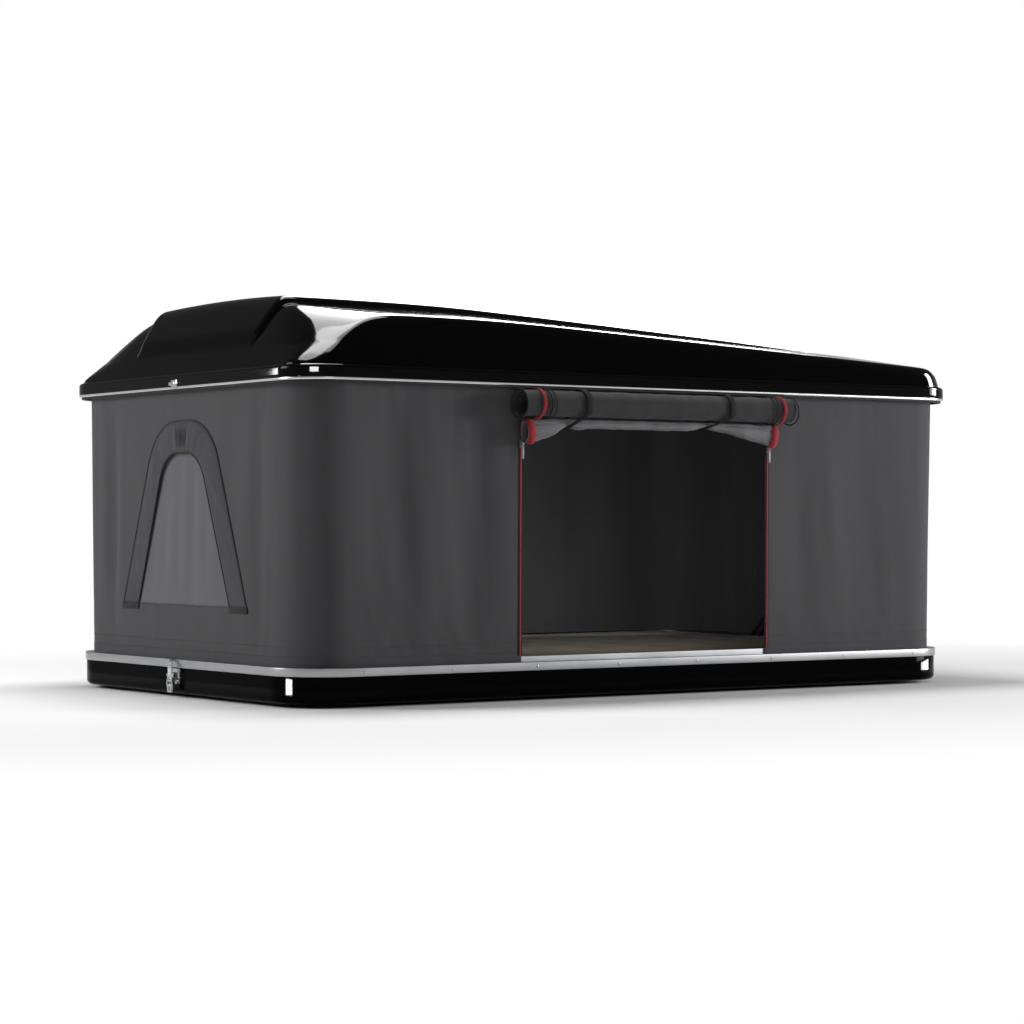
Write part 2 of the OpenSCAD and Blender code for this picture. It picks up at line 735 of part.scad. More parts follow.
// Places along the length and shares of the half width where the dome is drawn
end_steps = 9;
end_zone = 150;
mid_steps = 16;
dome_xs = concat([for (i = [0:end_steps - 1]) end_zone * pow(i / end_steps, 1.3) - dome_hx],
    [for (i = [0:mid_steps]) (2 * i / mid_steps - 1) * (dome_hx - end_zone)],
    [for (i = [end_steps - 1:-1:0]) dome_hx - end_zone * pow(i / end_steps, 1.3)]);
panel_share = panel_half / dome_hy;
edge_share = panel_edge / dome_hy;
half_rows = concat([for (i = [0:2]) (panel_share - edge_share) * i / 3],
    [panel_share - edge_share, panel_share + edge_share],
    [for (i = [1:8]) 1 - (1 - panel_share - edge_share) * pow(1 - i / 8, 1.7)]);
dome_rows = concat([for (i = [len(half_rows) - 1:-1:1]) -half_rows[i]], half_rows);
dome_nx = len(dome_xs);
dome_ny = len(dome_rows);

function half_width(x) = let (q = max(0, abs(x) - dome_hx + dome_r))
    dome_hy - dome_r + sqrt(max(0, dome_r * dome_r - q * q));
function dome_point(i, j, t) = let (x = dome_xs[i], y = dome_rows[j] * half_width(x))
    [x * (1 - t / dome_hx), y * (1 - t / dome_hy), ledge_z + dome_height(x, y) - t];

// The dome's edge in order, as places in its grid
dome_edge = concat([for (i = [0:dome_nx - 1]) [i, 0]], [for (j = [1:dome_ny - 1]) [dome_nx - 1, j]],
    [for (i = [dome_nx - 2:-1:0]) [i, dome_ny - 1]], [for (j = [dome_ny - 2:-1:1]) [0, j]]);
dome_edge_n = len(dome_edge);

// The edge moved outwards and set at a height
function edge_loop(out, z) = [for (e = dome_edge) let (p = dome_point(e[0], e[1], 0),
        c = [clamped(p[0], dome_r - dome_hx, dome_hx - dome_r),
            clamped(p[1], dome_r - dome_hy, dome_hy - dome_r)],
        d = [p[0], p[1]] - c, n = d / norm(d))
    [p[0] + out * n[0], p[1] + out * n[1], z]];

function grid_faces(a) = [for (i = [0:dome_nx - 2], j = [0:dome_ny - 2])
    let (p = a + i * dome_ny + j, q = p + dome_ny) each [[p, q, q + 1], [p, q + 1, p + 1]]];

module upper_shell() {
    grid = dome_nx * dome_ny;
    outer_grid = [for (i = [0:dome_nx - 1], j = [0:dome_ny - 1]) dome_point(i, j, 0)];
    inner_grid = [for (i = [0:dome_nx - 1], j = [0:dome_ny - 1]) dome_point(i, j, roof_t)];
    loops = [edge_loop(ledge_w * 0.75, ledge_z - 1), edge_loop(ledge_w, ledge_z - ledge_h),
        edge_loop(ledge_w, flange_z), edge_loop(ledge_w - roof_t, flange_z),
        edge_loop(ledge_w - roof_t, ledge_z - ledge_h - 1)];
    n = dome_edge_n;
    first = 2 * grid;
    function at(e) = e[0] * dome_ny + e[1];
    function joined(a, b) = [for (i = [0:n - 1]) let (j = (i + 1) % n)
        each [[a(i), b(j), a(j)], [a(i), b(i), b(j)]]];
    outer_edge = function (i) at(dome_edge[i]);
    inner_edge = function (i) grid + at(dome_edge[i]);
    loop_at = [for (k = [0:len(loops) - 1]) function (i) first + k * n + i];
    faces = concat(grid_faces(0), flipped(grid_faces(grid)), joined(outer_edge, loop_at[0]),
        [for (k = [0:len(loops) - 2]) each joined(loop_at[k], loop_at[k + 1])],
        joined(loop_at[len(loops) - 1], inner_edge));
    color([0.05, 0.05, 0.055])
        polyhedron(concat(outer_grid, inner_grid, [for (l = loops) each l]), flipped(faces));
}

// The trim's four straight lengths and four bent corners, with butt joints between them
module upper_rim() {
    joint_gap = 0.3;
    corner_x = roof_l / 2 - roof_r;
    corner_y = roof_w / 2 - roof_r;
    color([0.85, 0.86, 0.87]) translate([0, 0, trim_z]) difference() {
        ring(roof_l, roof_w, roof_r, 0, trim_w, trim_h);
        for (s = [-1, 1]) {
            block([s * corner_x - joint_gap / 2, -roof_w, -1],
                [s * corner_x + joint_gap / 2, roof_w, trim_h + 1]);
            block([-roof_l, s * corner_y - joint_gap / 2, -1],
                [roof_l, s * corner_y + joint_gap / 2, trim_h + 1]);
        }
    }
}

module rim_seal() {
    seal_inset = 5;
    color([0.05, 0.05, 0.05]) translate([0, 0, trim_z - seal_h])
        ring(roof_l, roof_w, roof_r, seal_inset, seal_w, seal_h);
}

// A channel across the end of the roof with a foot against the flange and the fixed pivot's boss
module roof_rail() {
    channel_w = 14;
    half = pivot_y + 22;
    foot_half = roof_w / 2 - roof_r - 15;
    z0 = roof_pivot_z - glide_r - soft_gap - channel_t;
    z1 = roof_pivot_z + glide_r + soft_gap + channel_t;
    wall = roof_l / 2 - roof_t;
    boss_r = 10;
    difference() {
        block([rail_x, -half, z0], [rail_x + channel_w, half, z1]);
        block([rail_x - 1, -half - 1, z0 + channel_t],
            [rail_x + channel_w - channel_t, half + 1, z1 - channel_t]);
    }
    block([rail_x + channel_w - 1, -foot_half, z0], [wall, foot_half, z0 + channel_t]);
    block([wall - channel_t, -foot_half, z0], [wall, foot_half, z0 + 5 * channel_t]);
    rod_x(arm_b_x + arm_t + 1, rail_x + channel_w - 1, -pivot_y, roof_pivot_z, boss_r);
    rod_x(arm_b_x - 1, arm_b_x + arm_t + 2, -pivot_y, roof_pivot_z, pin_r);
    rod_x(arm_b_x - 4, arm_b_x - 0.5, -pivot_y, roof_pivot_z, pin_r + 3);
}

module front_roof_rail() {
    color([0.6, 0.61, 0.62]) at_front() roof_rail();
}

module rear_roof_rail() {
    color([0.6, 0.61, 0.62]) roof_rail();
}

// Lift
// An arm along Y from its lower pivot, its faces at 0 and arm_t along X
module arm_bar(top_r) {
    groove_d = arm_t / 4;
    groove_h = arm_h / 2;
    groove_end = 60;
    difference() {
        rotate([90, 0, 90]) linear_extrude(arm_t) slot_2d(arm_l, arm_h);
        for (b = [[0, pin_r], [arm_l / 2, pin_r], [arm_l, top_r]])
            rod_x(-1, arm_t + 1, b[0], 0, b[1] + run_gap);
        for (x = [-1, arm_t - groove_d], y = [groove_end, arm_l / 2 + groove_end])
            block([x, y, -groove_h / 2], [x + groove_d + 1, y + arm_l / 2 - 2 * groove_end, groove_h / 2]);
    }
}

module arm_a() {
    translate([arm_a_x, -pivot_y, pivot_z]) rotate([open_angle, 0, 0]) arm_bar(glide_pin_r);
}

module front_arm_a() {
    color([0.62, 0.63, 0.64]) at_front() arm_a();
}

module rear_arm_a() {
    color([0.62, 0.63, 0.64]) arm_a();
}

module arm_b() {
    translate([arm_b_x, slide_y, pivot_z]) rotate([180 - open_angle, 0, 0]) arm_bar(pin_r);
}

module front_arm_b() {
    color([0.62, 0.63, 0.64]) at_front() arm_b();
}

module rear_arm_b() {
    color([0.62, 0.63, 0.64]) arm_b();
}

// A nylon glide on a pin in the upper end of arm A, running in the roof rail
module arm_glide() {
    color([0.85, 0.85, 0.82]) {
        rod_x(rail_x + 0.5, rail_x + 9.5, slide_y, roof_pivot_z, glide_r);
        rod_x(arm_a_x - 0.5, rail_x + 1, slide_y, roof_pivot_z, glide_pin_r);
        rod_x(arm_a_x - 2, arm_a_x - 0.2, slide_y, roof_pivot_z, glide_pin_r + 2);
    }
}

module front_arm_glide() {
    at_front() arm_glide();
}

module rear_arm_glide() {
    arm_glide();
}

// The pin where the arms cross, with a washer between them
module centre_pin() {
    y = (slide_y - pivot_y) / 2;
    z = (pivot_z + roof_pivot_z) / 2;
    head_r = pin_r + 4;
    play = 0.3;
    color([0.5, 0.5, 0.52]) {
        rod_x(arm_b_x - 1, arm_a_x + arm_t + 1, y, z, pin_r);
        rod_x(arm_b_x - 4, arm_b_x - play, y, z, head_r);
        rod_x(arm_b_x + arm_t + play, arm_a_x - play, y, z, head_r);
        rod_x(arm_a_x + arm_t + play, arm_a_x + arm_t + 4, y, z, head_r);
    }
}

module front_centre_pin() {
    at_front() centre_pin();
}

module rear_centre_pin() {
    centre_pin();
}

// The fixed lower pivot: a foot on the tray's floor, a post and a headed pin
module pivot_bracket() {
    foot_t = 6;
    half = 14;
    post_x = arm_a_x + arm_t + 2;
    post_t = 10;
    color([0.35, 0.36, 0.37]) {
        block([bed_l / 2 + 6, -pivot_y - half, tray_floor_t],
            [post_x + post_t, -pivot_y + half, tray_floor_t + foot_t]);
        block([post_x, -pivot_y - half, tray_floor_t], [post_x + post_t, -pivot_y + half, pivot_z]);
        rod_x(post_x, post_x + post_t, -pivot_y, pivot_z, half);
        rod_x(arm_a_x - 1, post_x + 1, -pivot_y, pivot_z, pin_r);
        rod_x(arm_a_x - 3.5, arm_a_x - 0.5, -pivot_y, pivot_z, pin_r + 3);
    }
}

module front_pivot_bracket() {
    at_front() pivot_bracket();
}

module rear_pivot_bracket() {
    pivot_bracket();
}

// The travelling nut, with a headed trunnion in arm B's lower end
module nut() {
    color([0.72, 0.6, 0.3]) difference() {
        union() {
            block([nut_x, slide_y - nut_l / 2, pivot_z - nut_w / 2],
                [nut_x + nut_w, slide_y + nut_l / 2, pivot_z + nut_w / 2]);
            rod_x(arm_b_x - 1, nut_x + 1, slide_y, pivot_z, pin_r);
            rod_x(arm_b_x - 4, arm_b_x - 0.5, slide_y, pivot_z, pin_r + 3);
        }
        rod_y(screw_x, slide_y - nut_l, slide_y + nut_l, pivot_z, screw_r + run_gap);
    }
}

module front_nut() {
    at_front() nut();
}

module rear_nut() {
    nut();
}

module lift_screw() {
    color([0.55, 0.56, 0.57])
        rod_y(screw_x, gearbox_y1 - shaft_bite, bearing_y + bearing_l - 2, pivot_z, screw_r);
}

module front_screw() {
    at_front() lift_screw();
}

module rear_screw() {
    lift_screw();
}

// The outer end bearing of a lift screw
module screw_bearing() {
    half = screw_r + 1;
    foot_half = half + 8;
    color([0.35, 0.36, 0.37]) difference() {
        union() {
            block([screw_x - half, bearing_y, tray_floor_t],
                [screw_x + half, bearing_y + bearing_l, pivot_z]);
            rod_y(screw_x, bearing_y, bearing_y + bearing_l, pivot_z, half + 3);
            block([screw_x - foot_half, bearing_y - 10, tray_floor_t],
                [screw_x + half, bearing_y + bearing_l, tray_floor_t + 6]);
        }
        rod_y(screw_x, bearing_y - 1, bearing_y + bearing_l + 1, pivot_z, screw_r + run_gap);
    }
}

module front_screw_bearing() {
    at_front() screw_bearing();
}

module rear_screw_bearing() {
    screw_bearing();
}

// A closed right-angle gearbox: the drive shaft enters low, the lift screw leaves high
module gearbox() {
    y0 = gearbox_y1 - gearbox_l;
    bevel = 8;
    difference() {
        translate([gearbox_x, 0, 0]) rotate([90, 0, 90]) linear_extrude(gearbox_w)
            polygon([[y0, tray_floor_t], [gearbox_y1, tray_floor_t], [gearbox_y1, gearbox_top - bevel],
                [gearbox_y1 - bevel, gearbox_top], [y0 + bevel, gearbox_top], [y0, gearbox_top - bevel]]);
        rod_y(screw_x, gearbox_y1 - shaft_bite - 1, gearbox_y1 + 1, pivot_z, screw_r + run_gap);
        rod_x(gearbox_x - 1, gearbox_x + shaft_bite + 1, shaft_y, shaft_z, shaft_r + run_gap);
        children();
    }
}

module front_gearbox() {
    color([0.3, 0.31, 0.32]) at_front() gearbox();
}

module rear_gearbox() {
    color([0.3, 0.31, 0.32]) gearbox()
        rod_x(gearbox_x + gearbox_w - 8, gearbox_x + gearbox_w + 1, shaft_y, pivot_z, screw_r + run_gap);
}

module drive_shaft() {
    end = gearbox_x + shaft_bite;
    color([0.55, 0.56, 0.57]) rod_x(-end, end, shaft_y, shaft_z, shaft_r);
}

// A block that carries the middle of the drive shaft
module shaft_hanger() {
    half = 10;
    color([0.3, 0.31, 0.32]) difference() {
        block([-half, shaft_y - half, tray_floor_t], [half, shaft_y + half, floor_z]);
        rod_x(-half - 1, half + 1, shaft_y, shaft_z, shaft_r + run_gap);
    }
}

// The hexagon socket that a hand crank turns
module crank_socket() {
    hex_r = 5;
    hex_d = 14;
    x1 = tray_l / 2 - 0.5;
    color([0.55, 0.56, 0.57]) difference() {
        rod_x(gearbox_x + gearbox_w - 7, x1, shaft_y, pivot_z, screw_r);
        translate([x1 - hex_d, shaft_y, pivot_z]) rotate([0, 90, 0])
            cylinder(r = hex_r, h = hex_d + 1, $fn = 6);
    }
}

module crank_bush() {
    flange_t = 2.5;
    bush_r = screw_r + 3;
    flange_r = bush_r + 5;
    x0 = tray_l / 2 - tray_t;
    color([0.2, 0.2, 0.2]) difference() {
        union() {
            rod_x(x0, tray_l / 2 + 1, shaft_y, pivot_z, bush_r);
            rod_x(tray_l / 2, tray_l / 2 + flange_t, shaft_y, pivot_z, flange_r);
        }
        rod_x(x0 - 1, tray_l / 2 + flange_t + 1, shaft_y, pivot_z, screw_r + run_gap);
    }
}

// Latch
// Places in the XZ plane: the tray's end face, the lever's pin and the claw's pin
face_x = tray_l / 2;
lever_x = face_x + 12;
lever_z = 48;
claw_x = face_x + 16;
claw_z = 34;
claw_pin_r = 2;
ear_t = 4;
cheek_t = 3.5;
side_play = 0.4;
cheek_y = claw_w / 2 + side_play;
ear_y = cheek_y + cheek_t + side_play;

// A plate with two ears and the lever's pin
module latch_plate() {
    plate_t = 3;
    z0 = tray_edge_r + 2;
    z1 = base_h - rim_h - 2;
    ear_r = 7;
    color([0.7, 0.71, 0.73]) {
        block([face_x, -latch_w / 2, z0], [face_x + plate_t, latch_w / 2, z1]);
        for (s = [-1, 1]) translate([0, s * (ear_y + ear_t / 2), 0]) across(ear_t) {
            translate([lever_x, lever_z]) circle(ear_r);
            translate([face_x, lever_z - ear_r]) square([lever_x - face_x, 2 * ear_r]);
        }
        rod_y(lever_x, -ear_y - ear_t, ear_y + ear_t, lever_z, latch_pin_r);
    }
}

module front_latch_plate() {
    at_front() latch_plate();
}

module rear_latch_plate() {
    latch_plate();
}

// Two cheeks on the pin, the claw's pin between them and a slotted, tapered handle
module latch_lever() {
    cheek_r = 5;
    handle_top = claw_z - 9;
    handle_z = 4;
    handle_t = 6;
    tip_half = 9;
    slot_half = 3;
    outer = claw_x + cheek_r;
    color([0.74, 0.75, 0.77]) {
        for (s = [-1, 1]) translate([0, s * (cheek_y + cheek_t / 2), 0]) across(cheek_t) difference() {
            union() {
                translate([lever_x, lever_z]) circle(cheek_r + 1);
                polygon([[lever_x - 5, lever_z], [lever_x + 6, lever_z], [outer, claw_z],
                    [outer, handle_top - 3], [outer - handle_t - 2, handle_top - 3]]);
            }
            translate([lever_x, lever_z]) circle(latch_pin_r + run_gap);
        }
        rod_y(claw_x, -cheek_y - 0.5, cheek_y + 0.5, claw_z, claw_pin_r);
        translate([outer - handle_t, 0, 0]) rotate([90, 0, 90]) linear_extrude(handle_t) difference() {
            polygon([[-cheek_y - cheek_t, handle_top], [cheek_y + cheek_t, handle_top],
                [tip_half, handle_z + 3], [tip_half - 3, handle_z], [3 - tip_half, handle_z],
                [-tip_half, handle_z + 3]]);
            translate([-slot_half, handle_z + 5]) square([2 * slot_half, handle_top - handle_z - 10]);
        }
    }
}

module front_latch_lever() {
    at_front() latch_lever();
}

module rear_latch_lever() {
    latch_lever();
}

// A strap on the lever's second pin with a hook turned in over the rim
module latch_claw() {
    eye_r = 4.2;
    top = base_h;
    hook_x = base_l / 2 + 3;
    out = claw_x + claw_t / 2;
    color([0.78, 0.79, 0.81]) across(claw_w) difference() {
        union() {
            translate([claw_x, claw_z]) circle(eye_r);
            polygon([[out - claw_t, claw_z], [out, claw_z], [out + 2, (claw_z + top) / 2],
                [out + 1, top - 6], [out - 4, top], [hook_x, top], [hook_x, top - 7], [hook_x + 2, top - 7],
                [hook_x + 3, top - claw_t], [out - 6, top - claw_t], [out - 3, top - 8],
                [out - claw_t + 2, (claw_z + top) / 2]]);
        }
        translate([claw_x, claw_z]) circle(claw_pin_r + run_gap);
    }
}

module front_latch_claw() {
    at_front() latch_claw();
}

module rear_latch_claw() {
    latch_claw();
}

// A plate on the roof's flange with a lip for the claw
module keeper() {
    plate_t = 3;
    lip = 10;
    lip_t = 4;
    x0 = roof_l / 2;
    z0 = trim_z + 1;
    z1 = flange_z + flange_h - 9;
    color([0.78, 0.79, 0.81]) across(keeper_w) {
        translate([x0, z0]) square([plate_t, z1 - z0]);
        translate([x0, z1 - 14]) square([lip, lip_t]);
        translate([x0 + lip - 2, z1 - 14]) square([2, lip_t + 4]);
    }
}

module front_keeper() {
    at_front() keeper();
}

module rear_keeper() {
    keeper();
}

lower_shell();
lower_rim();
wall_track();
rim_rivets();
near_mount_rail();
far_mount_rail();
floor_panel();
mattress();
front_pivot_bracket();
rear_pivot_bracket();
front_gearbox();
rear_gearbox();
front_screw_bearing();
rear_screw_bearing();
shaft_hanger();
crank_bush();
front_latch_plate();
rear_latch_plate();
wall_canvas();
front_window_net();
rear_window_net();
front_window_hood();
rear_window_hood();
near_zip_tapes();
far_zip_tapes();
far_door();
zip_sliders();
front_arm_a();
rear_arm_a();
front_arm_glide();
rear_arm_glide();
front_centre_pin();
rear_centre_pin();
front_arm_b();
rear_arm_b();
front_nut();
rear_nut();
front_screw();
rear_screw();
drive_shaft();
crank_socket();
upper_shell();
upper_rim();
rim_seal();
front_roof_rail();
rear_roof_rail();
front_keeper();
rear_keeper();
door_roll();
net_roll();
roll_straps();
roll_zips();
front_latch_lever();
rear_latch_lever();
front_latch_claw();
rear_latch_claw();
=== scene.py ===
"""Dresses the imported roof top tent: gel-coated shells, bright rims, cloth walls, nets, zips,
rolls and bed, built round the fixed frame. Lengths are in millimetres here and become metres
when a mesh is made."""

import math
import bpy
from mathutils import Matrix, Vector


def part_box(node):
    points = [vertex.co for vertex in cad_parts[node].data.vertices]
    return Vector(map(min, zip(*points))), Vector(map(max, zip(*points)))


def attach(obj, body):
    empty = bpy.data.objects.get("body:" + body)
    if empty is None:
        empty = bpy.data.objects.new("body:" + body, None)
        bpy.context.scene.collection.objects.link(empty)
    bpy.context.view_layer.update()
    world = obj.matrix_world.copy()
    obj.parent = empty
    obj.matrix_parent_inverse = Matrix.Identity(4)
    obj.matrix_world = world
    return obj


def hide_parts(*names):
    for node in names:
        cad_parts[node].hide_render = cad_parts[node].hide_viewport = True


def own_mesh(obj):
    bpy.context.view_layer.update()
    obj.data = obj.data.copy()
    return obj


bl_info = {
    "name": "Roof top tent",
    "version": (1, 0, 0),
    "blender": (4, 5, 0),
    "location": "View3D > Sidebar > Tent",
    "description": "Builds the visible pieces of a hard-shell roof top tent round its frame",
    "category": "Object",
}

import bmesh
import bpy
import numpy as np
from bpy.props import FloatProperty, FloatVectorProperty, IntProperty, PointerProperty
from mathutils import Matrix, Quaternion, Vector

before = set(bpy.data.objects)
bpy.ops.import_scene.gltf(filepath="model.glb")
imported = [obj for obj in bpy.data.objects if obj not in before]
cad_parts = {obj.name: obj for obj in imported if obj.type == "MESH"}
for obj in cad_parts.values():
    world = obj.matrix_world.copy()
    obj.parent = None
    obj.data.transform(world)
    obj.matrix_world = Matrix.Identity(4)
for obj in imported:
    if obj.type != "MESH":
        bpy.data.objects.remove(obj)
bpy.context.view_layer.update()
MM = 0.001
TURN = 2 * math.pi


def cad_box(name):
    """Low and high corners of a frame node, in millimetres."""
    low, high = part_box(name)
    return np.array(low) / MM, np.array(high) / MM


RIM_LOW, RIM_HIGH = cad_box("lower_rim")
TRIM_LOW, TRIM_HIGH = cad_box("upper_rim")
SEAL_LOW, SEAL_HIGH = cad_box("rim_seal")
TRACK_HIGH = cad_box("wall_track")[1]
BED_LOW, BED_HIGH = cad_box("mattress")
WALL_LOW, WALL_HIGH = cad_box("wall_canvas")
ROLL_LOW, ROLL_HIGH = cad_box("door_roll")
NET_ROLL_LOW, NET_ROLL_HIGH = cad_box("net_roll")
STRAP_LOW, STRAP_HIGH = cad_box("roll_straps")
ROLL_ZIP_LOW, ROLL_ZIP_HIGH = cad_box("roll_zips")
NEAR_ZIP_LOW, NEAR_ZIP_HIGH = cad_box("near_zip_tapes")
SLIDER_TOP = cad_box("zip_sliders")[1][2]
RIM_TOP = RIM_HIGH[2]


# Properties

# Each colour's name, what it is on and its default in sRGB
COLOURS = {
    "gelcoat": ("Gel-coat", "Both moulded shells", "#040405"),
    "canvas": ("Canvas", "Outside of the cloth walls", "#48484A"),
    "canvas_back": ("Canvas back", "Coated inside of the walls", "#3A3A3B"),
    "hood": ("Hood", "Cloth round the windows", "#444447"),
    "net": ("Net", "Window net", "#707077"),
    # The rolled net is the window net painted lighter: painted highlights on its crumpled turns
    "roll_net": ("Rolled net", "Net of the door", "#7A7A7E"),
    "zip": ("Zip", "Zip tapes", "#9C242B"),
    "rim": ("Rim", "Anodised rim of the base", "#A9AAAC"),
    "trim": ("Trim", "Bright trim under the roof", "#E2E3E4"),
    "bed": ("Mattress", "Mattress cover", "#3B332A"),
    "floor": ("Floor", "Studio floor and backdrop", "#F4F4F4"),
}

# Each length's name, what it is and its default in millimetres
LENGTHS = {
    "dome_h": ("Dome height", "Dome above its ledge, tall end", 165.5),
    "dome_flat": ("Level top", "Length of the level top", 576),
    "panel_half": ("Panel half", "Half the raised panel's width", 325),
    "panel_rise": ("Panel rise", "Height of the raised panel", 19),
    "panel_l": ("Panel length", "Length of the raised panel", 1800),
    "wall_sag": ("Wall sag", "How far the walls are drawn in", 9),
    "fold_depth": ("Fold depth", "Depth of the upright folds", 11),
    "ripple": ("Ripple", "Depth of the small ripples at the rims", 6),
    "cloth_t": ("Cloth", "Thickness of the wall cloth", 2.3),
    "hood_out": ("Hood", "How far the hoods stand off", 7),
    "rivet_pitch": ("Rivets", "Distance between rim rivets", 251),
    "tooth_pitch": ("Zip teeth", "Distance between zip teeth", 4),
    "stitch_pitch": ("Stitches", "Distance between stitches", 7),
    "tuft_pitch": ("Tufts", "Distance between mattress tufts", 190),
}

# Each slope's name, what it is and its default fall over run
SLOPES = {
    "dome_fall": ("Dome fall", "Fall towards the thin end", 0.051),
    "shoulder_fall": ("Shoulder fall", "Fall beside the panel", 0.15),
}


def linear(code):
    """An sRGB hex value as linear red, green, blue and alpha."""
    parts = [int(code[i : i + 2], 16) / 255 for i in (1, 3, 5)]
    return (*(p / 12.92 if p <= 0.04045 else ((p + 0.055) / 1.055) ** 2.4 for p in parts), 1)


class TentColours(bpy.types.PropertyGroup):
    """Colours of the tent's finishes"""

    __annotations__ = {
        key: FloatVectorProperty(
            name=name, description=text, default=linear(code), size=4, min=0, max=1, subtype="COLOR"
        )
        for key, (name, text, code) in COLOURS.items()
    }


class TentSizes(bpy.types.PropertyGroup):
    """Sizes of the tent's visible forms"""

    __annotations__ = {
        key: FloatProperty(
            name=name, description=text, default=length * MM, precision=4,
            subtype="DISTANCE", unit="LENGTH",
        )
        for key, (name, text, length) in LENGTHS.items()
    }
    __annotations__ |= {
        key: FloatProperty(name=name, description=text, default=fall, precision=4, subtype="FACTOR")
        for key, (name, text, fall) in SLOPES.items()
    }
    roll_steps: IntProperty(
        name="Roll steps", description="Points in each turn of the roll", default=40
    )


def sizes():
    return bpy.context.scene.tent_sizes


def mm(key):
    """One of the panel's lengths in millimetres."""
    return round(getattr(sizes(), key) / MM, 3)


def shade(colour, factor=1):
    """A hex value, or a colour of the panel by its key, made lighter or darker."""
    rgba = linear(colour) if colour[0] == "#" else getattr(bpy.context.scene.tent_colours, colour)
    return (*(part * factor for part in rgba[:3]), 1)


# Shared helpers


def give(tree, node, inputs):
    """Links a node's inputs to other nodes' outputs, or sets its properties and sockets."""
    for key, value in inputs.items():
        if isinstance(value, bpy.types.NodeSocket):
            tree.links.new(value, node.inputs[key])
        elif isinstance(key, str) and hasattr(node, key):
            setattr(node, key, value)
        else:
            node.inputs[key].default_value = value


def add(tree, kind, inputs=None):
    """A new node with its inputs."""
    made = tree.nodes.new(kind)
    give(tree, made, inputs or {})
    return made


def out(tree, kind, inputs=None, output=0):
    """One output of a new node."""
    return add(tree, kind, inputs).outputs[output]


def eased(value, low, high):
    """A smooth step from 0 at low to 1 at high."""
    t = np.clip((np.asarray(value, float) - low) / (high - low), 0, 1)
    return t * t * (3 - 2 * t)


def around(count):
    """Angles once round a circle."""
    return np.linspace(0, TURN, count, endpoint=False)


def line(x, y, z):
    """Points from coordinates that are rows of numbers, or one number for all."""
    return np.column_stack(np.broadcast_arrays(x, y, z))


def running(points, closed=False):
    """Distance run along a row of points, with the way back to the first if closed."""
    points = np.asarray(points, float)
    if closed:
        points = np.vstack([points, points[:1]])
    steps = np.linalg.norm(np.diff(points, axis=0), axis=1)
    return np.concatenate([[0], np.cumsum(steps)])


def outline(half_x, half_y, radius, long_n=40, short_n=24, corner_n=16):
    """Points and outward normals round a rectangle with round corners, anticlockwise."""
    points, normals = [], []
    signs = ((1, 1), (-1, 1), (-1, -1), (1, -1))
    middles = [np.array([x * (half_x - radius), y * (half_y - radius)]) for x, y in signs]
    for k, middle in enumerate(middles):
        for i in range(corner_n + 1):
            a = math.pi / 2 * (k + i / corner_n)
            normals.append((math.cos(a), math.sin(a)))
            points.append(middle + radius * np.array(normals[-1]))
        start = points[-1]
        ahead = middles[(k + 1) % 4] + radius * np.array(normals[-1])
        count = long_n if k % 2 == 0 else short_n
        for i in range(1, count):
            points.append(start + (ahead - start) * i / count)
            normals.append(normals[-1])
    return np.array(points), np.array(normals)


def arc(middle, radius, start, end, steps=5):
    """Points on an arc of a profile, angles in degrees."""
    angles = np.radians(np.linspace(start, end, steps))
    return [(middle[0] + radius * math.cos(a), middle[1] + radius * math.sin(a)) for a in angles]


def put(name, data):
    """A new object in the scene."""
    made = bpy.data.objects.new(name, data)
    bpy.context.scene.collection.objects.link(made)
    return made


def smooth(mesh, angle):
    """Shades a mesh smooth except across edges sharper than the angle in degrees."""
    mesh.shade_smooth()
    mesh.set_sharp_from_angle(angle=math.radians(angle))


